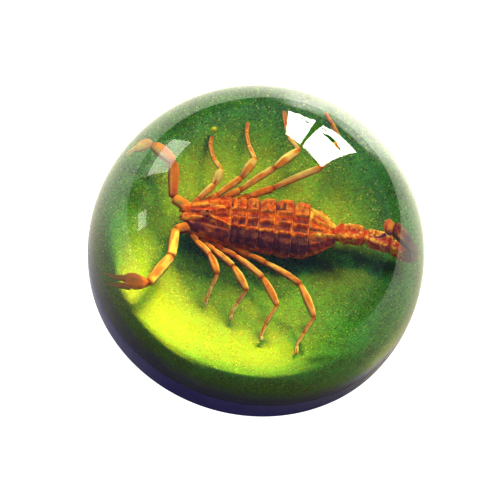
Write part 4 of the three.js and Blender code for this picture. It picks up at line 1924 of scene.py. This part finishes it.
@dataclass
class Studio:
    """Camera, pale floor, windows, lamps and even surroundings. Its lengths are in metres.

    The windows light the resin's surface as reflections. The lamps stand behind the dome and light
    what lies in the resin, and don't show as reflections.

    Attributes:
        azimuth: Camera azimuth in degrees; 0 looks along +Y.
        elevation: Camera height in degrees above the floor.
        roll: Turn of the picture in degrees; the level line runs down to the right.
        distance: Camera distance in ball radii.
        ball_pixels: Radius of the ball in a picture 500 pixels wide.
        aim: Pixel where the ball's centre lies.
        picture: Width and height of the picture in pixels.
        sensor: Width of the camera's sensor in millimetres.
        window: The bright window, which shows only as a reflection.
        window_split: Where its bar stands, as a share of its width.
        window_bar: Half width of the bar between its panes, as a share of its width.
        window_frame: Half width of the bar's dark card at its foot and at its top.
        window_lean: How far that card leans at its foot.
        card_gap: How far before the window the dark cards hang.
        leaves: Share of the window's width, height, half length and half height of each leaf.
        leaf_seed: Picks the leaves' uneven edges.
        side_window: A dim window to the left.
        small_window: A smaller one beside it.
        lamps: The softboxes behind the dome.
        world_colour: Colour of the even surroundings.
        world_strength: Their brightness.
        veil_colour: Their colour where the resin mirrors them.
        veil_strength: Their brightness there.
        floor_half: Half side of the floor.
        floor_roughness: Its roughness.
        table_colour: Its colour.
        sheet_colour: Colour of the sheet that lies on it.
        sheet_half: Half side of the sheet.
        sheet_soft: Half width of the sheet's soft edge.
        sheet_turn: Angle of the sheet in degrees.
        sheet_glow: Glow of the floor in the camera's own sight.
        mirrored_glow: Greatest glow of the sheet where the resin mirrors it.
        glow_span: Distances behind the axis between which that glow comes in.
        glow_spread: How much sooner it comes in for each metre to the side.
        glow_shift: How far to the side the place lies where it comes in last.
    """

    azimuth: float = -11.9
    elevation: float = 60.0
    roll: float = 17.5
    distance: float = 12.0
    ball_pixels: float = 168.5
    aim: Point2 = (256.0, 253.2)
    picture: float = 500.0
    sensor: float = 36.0
    window: Pane = Pane((0.134, 0.991), (0.406, 0.520), 0.1, 0.61, 18.0, through=False)
    window_split: float = 0.47
    window_bar: float = 0.02
    window_frame: Point2 = (0.022, 0.011)
    window_lean: float = 0.03
    card_gap: float = 0.02
    leaves: tuple[tuple[float, float, float, float], ...] = (
        (0.12, 0.104, 0.05, 0.007), (0.27, 0.107, 0.035, 0.011), (0.36, 0.104, 0.022, 0.016),
        (0.27, 0.165, 0.035, 0.010), (0.36, 0.19, 0.022, 0.010), (0.60, 0.102, 0.035, 0.008),
        (0.62, 0.16, 0.030, 0.011), (0.66, 0.22, 0.018, 0.014), (0.71, 0.20, 0.026, 0.014),
        (0.79, 0.215, 0.038, 0.024), (0.86, 0.23, 0.028, 0.016))
    leaf_seed: int = 5
    side_window: Pane = Pane((-0.736, 0.946), (-1.016, 0.640), 0.005, 0.33, 4.5)
    small_window: Pane = Pane((-1.17, 0.27), (-1.197, 0.084), 0.005, 0.15, 4.5)
    lamps: tuple[Pane, ...] = (
        softbox(-8.0, 24.0, 0.60, 0.70, 21.0), softbox(-8.0, 24.0, 0.70, 0.9, 8.0),
        softbox(24.0, 54.0, 0.50, 0.85, 13.6), softbox(-40.0, 70.0, 1.15, 2.2, 8.4))
    world_colour: Colour = (0.75, 0.9, 1.0)
    world_strength: float = 0.2
    veil_colour: Colour = (0.6, 0.6, 1.0)
    veil_strength: float = 0.45
    floor_half: float = 3.0
    floor_roughness: float = 0.35
    table_colour: Colour = (0.06, 0.06, 0.06)
    sheet_colour: Colour = (0.42, 0.42, 0.42)
    sheet_half: float = 0.145
    sheet_soft: float = 0.004
    sheet_turn: float = 55.0
    sheet_glow: float = 0.95
    mirrored_glow: float = 0.85
    glow_span: Point2 = (-0.02, 0.05)
    glow_spread: float = 0.5
    glow_shift: float = 0.02

    def place_camera(self, dome: ResinDome) -> None:
        """Puts the camera on the line of sight, turned by roll, with the ball's centre at aim.

        Args:
            dome: The dome that it looks at.
        """
        tilt, turn, roll = (math.radians(v) for v in (self.elevation, self.azimuth, self.roll))
        flat = math.cos(tilt)
        back = Vector((math.sin(turn) * flat, -math.cos(turn) * flat, math.sin(tilt)))
        level = Vector((math.cos(turn), math.sin(turn), 0.0))
        rise = back.cross(level)
        right = math.cos(roll) * level + math.sin(roll) * rise
        top = -math.sin(roll) * level + math.cos(roll) * rise
        focal = self.ball_pixels / math.tan(math.asin(1.0 / self.distance))
        reach = self.distance * dome.radius * MM
        shift_x = (self.aim[0] - self.picture / 2) / focal * reach
        shift_y = (self.aim[1] - self.picture / 2) / focal * reach
        centre = Vector((0.0, 0.0, dome.centre * MM))
        camera = bpy.data.objects.new("camera", bpy.data.cameras.new("camera"))
        camera.data.sensor_width = self.sensor
        camera.data.lens = focal * self.sensor / self.picture
        camera.data.clip_start = 0.01
        turned_by = Matrix((right, top, back)).transposed().to_4x4()
        place = centre + back * reach - right * shift_x + top * shift_y
        camera.matrix_world = Matrix.Translation(place) @ turned_by
        bpy.context.scene.collection.objects.link(camera)
        bpy.context.scene.camera = camera

    def hang_leaves(self) -> None:
        """Dark cards before the window, for reflections alone: its bar, and leaves beyond it.

        The bar is wider at its foot. Each leaf is an uneven octagon.
        """
        chance = np.random.default_rng(self.leaf_seed)
        far, near = np.array(self.window.start), np.array(self.window.end)
        across = unit(near - far)
        plane = far - self.card_gap * unit(far + near)
        foot, top = self.window.foot, self.window.top
        width = float(np.linalg.norm(near - far))
        bar = self.window_split * width
        low, high = bar + self.window_lean, bar - 0.5 * self.window_lean
        broad, slim = self.window_frame
        corners = [(low - broad, foot), (low + broad, foot), (high + slim, top), (high - slim, top)]
        quads = [(0, 1, 2, 3)]
        turn = np.arange(8) * math.pi / 4
        for share, height, length, rise in self.leaves:
            first = len(corners)
            uneven = 0.7 + 0.6 * chance.random(8)
            corners += zip(share * width + length * uneven * np.cos(turn),
                           height + rise * uneven * np.sin(turn))
            quads += [tuple(first + corner for corner in face)
                      for face in ((0, 1, 2, 3), (0, 3, 4, 7), (4, 5, 6, 7))]
        flat = np.array(corners, float)
        points = np.concatenate([plane + flat[:, :1] * across, flat[:, 1:]], axis=1) / MM
        material, board, shader, _ = new_material("window_dark")
        board.feed(shader, {"Base Color": rgba((0.0, 0.0, 0.0)), "Specular IOR Level": 0.0})
        skin = Skin(points, np.array(quads), NO_TRIS, np.zeros((len(points), 3)))
        shown = skin.to_object("window_leaves", material)
        shown.visible_camera = shown.visible_diffuse = shown.visible_transmission = False
        shown.visible_shadow = False

    def light_room(self) -> None:
        """A window of two panes, two dim windows, the lamps behind the dome and even surroundings.

        Where the resin mirrors the surroundings, they have a colour and brightness of their own.
        """
        far, near = np.array(self.window.start), np.array(self.window.end)
        split, bar = self.window_split, self.window_bar
        for column, span in enumerate(((0.0, split - bar), (split + bar, 1.0))):
            start, end = (tuple(far + (near - far) * share) for share in span)
            replace(self.window, start=start, end=end).hang(f"window_{column}")
        for number, lamp in enumerate(self.lamps):
            lamp.hang(f"lamp_{number}")
        self.side_window.hang("side_window")
        self.small_window.hang("small_window")
        world = bpy.data.worlds.new("studio_air")
        world.use_nodes = True
        board = NodeBoard(world.node_tree)
        mirrored = board.mirrored_ray()
        board.feed(world.node_tree.nodes["Background"], {
            "Color": board.mix(mirrored, rgba(self.world_colour), rgba(self.veil_colour)),
            "Strength": board.range(mirrored, 0.0, 1.0, self.world_strength, self.veil_strength)})
        bpy.context.scene.world = world

    def lay_floor(self) -> None:
        """A wide floor: a square white sheet under the dome, on a darker table.

        The sheet is where max(|u|, |v|) is less than its half side, with u and v the floor's
        coordinates turned by the sheet's angle. The floor glows in the camera's sight, and the
        sheet behind the dome also glows where the resin mirrors it.
        """
        half = self.floor_half / MM
        points = np.array([[-half, -half, 0], [half, -half, 0], [half, half, 0], [-half, half, 0]])
        skin = Skin(points, np.array([[0, 1, 2, 3]]), NO_TRIS, np.zeros((4, 3)))
        material, board, shader, _ = new_material("pale_floor")
        where = board.node("ShaderNodeTexCoord").outputs["Object"]
        spun = board.node("ShaderNodeVectorRotate", {
            "Vector": where, "Angle": -math.radians(self.sheet_turn)}, rotation_type="Z_AXIS")
        parts = board.node("ShaderNodeSeparateXYZ", {"Vector": spun.outputs["Vector"]})
        reach = board.maths("MAXIMUM", board.maths("ABSOLUTE", parts.outputs["X"]),
                            board.maths("ABSOLUTE", parts.outputs["Y"]))
        fade = board.range(reach, self.sheet_half - self.sheet_soft, self.sheet_half + self.sheet_soft)
        colour = board.mix(fade, rgba(self.sheet_colour), rgba(self.table_colour))
        camera = board.node("ShaderNodeLightPath").outputs["Is Camera Ray"]
        seen = board.maths("MULTIPLY", camera, self.sheet_glow)
        turn = math.radians(self.azimuth)
        beyond = board.dot(where, (-math.sin(turn), math.cos(turn), 0.0))
        aside = board.dot(where, (math.cos(turn), math.sin(turn), 0.0))
        apart = board.maths("ABSOLUTE", board.maths("SUBTRACT", aside, self.glow_shift))
        spread = board.maths("MULTIPLY", apart, self.glow_spread)
        behind = board.range(board.maths("ADD", beyond, spread), *self.glow_span, 0.0, self.mirrored_glow)
        sheet = board.maths("MULTIPLY", behind, board.maths("SUBTRACT", 1.0, fade))
        glow = board.maths("MULTIPLY", board.mirrored_ray(), sheet)
        board.feed(shader, {
            "Base Color": colour, "Roughness": self.floor_roughness,
            "Emission Color": rgba((1.0, 1.0, 1.0)), "Emission Strength": board.maths("ADD", seen, glow)})
        skin.to_object("pale_floor", material)

    def set_picture(self) -> None:
        """Plain picture colours, and sharp light patterns through the clear resin."""
        scene = bpy.context.scene
        scene.view_settings.view_transform = "Standard"
        scene.view_settings.look = "Medium High Contrast"
        scene.cycles.blur_glossy = 0.0


# ---- Assembly ----


def main() -> None:
    """Builds the studio, the dome and the scorpion, and reports each piece."""
    logging.basicConfig(level=logging.INFO, format="%(name)s: %(message)s")
    mottle, specks = make_mottle_group(), make_speck_group()
    dome = ResinDome()
    studio = Studio()
    studio.place_camera(dome)
    studio.light_room()
    studio.hang_leaves()
    studio.lay_floor()
    studio.set_picture()

    dome.build_base(DarkResinFinish(mottle=mottle))
    dome.build_glitter(GlitterFinish(mottle=mottle, specks=specks))
    dome.build_flakes(FlakeFinish())
    dome.build_resin(ResinFinish())
    # The bubble's yellow-green colour is painted reflection of the glitter around it.
    dome.build_bubble(GlossFinish("bubble_painted_reflection", (0.75, 0.72, 0.02)))

    trunk = ShellFinish("shell_trunk", (1.0, 0.26, 0.025), (0.58, 0.055, 0.022), (0.065, 0.016, 0.09),
                        (1.0, 0.68, 0.2), blotch=1100.0, roughness=(0.22, 0.42), glow=0.06, mottle=mottle)
    limbs = ShellFinish("shell_legs", (0.97, 0.33, 0.04), (0.74, 0.14, 0.02), (0.30, 0.035, 0.012),
                        (1.0, 0.85, 0.50), blotch=1000.0, roughness=(0.3, 0.5), glow=0.12, mottle=mottle)
    arms = ShellFinish("shell_arms", (1.0, 0.36, 0.05), (1.0, 0.21, 0.11), (0.30, 0.025, 0.025),
                       (1.0, 0.80, 0.30), blotch=600.0, roughness=(0.28, 0.48), glow=0.15, mottle=mottle)
    tail = ShellFinish("shell_tail", (1.0, 0.38, 0.03), (0.78, 0.06, 0.012), (0.07, 0.04, 0.24),
                       (1.0, 0.72, 0.2), blotch=1000.0, roughness=(0.22, 0.42), glow=0.08, mottle=mottle)
    ScorpionTrunk().build(trunk, GlossFinish())
    ScorpionLegs().build(limbs)
    ScorpionArms().build(arms)
    ScorpionTail().build(tail)


if __name__ == "__main__":
    main()
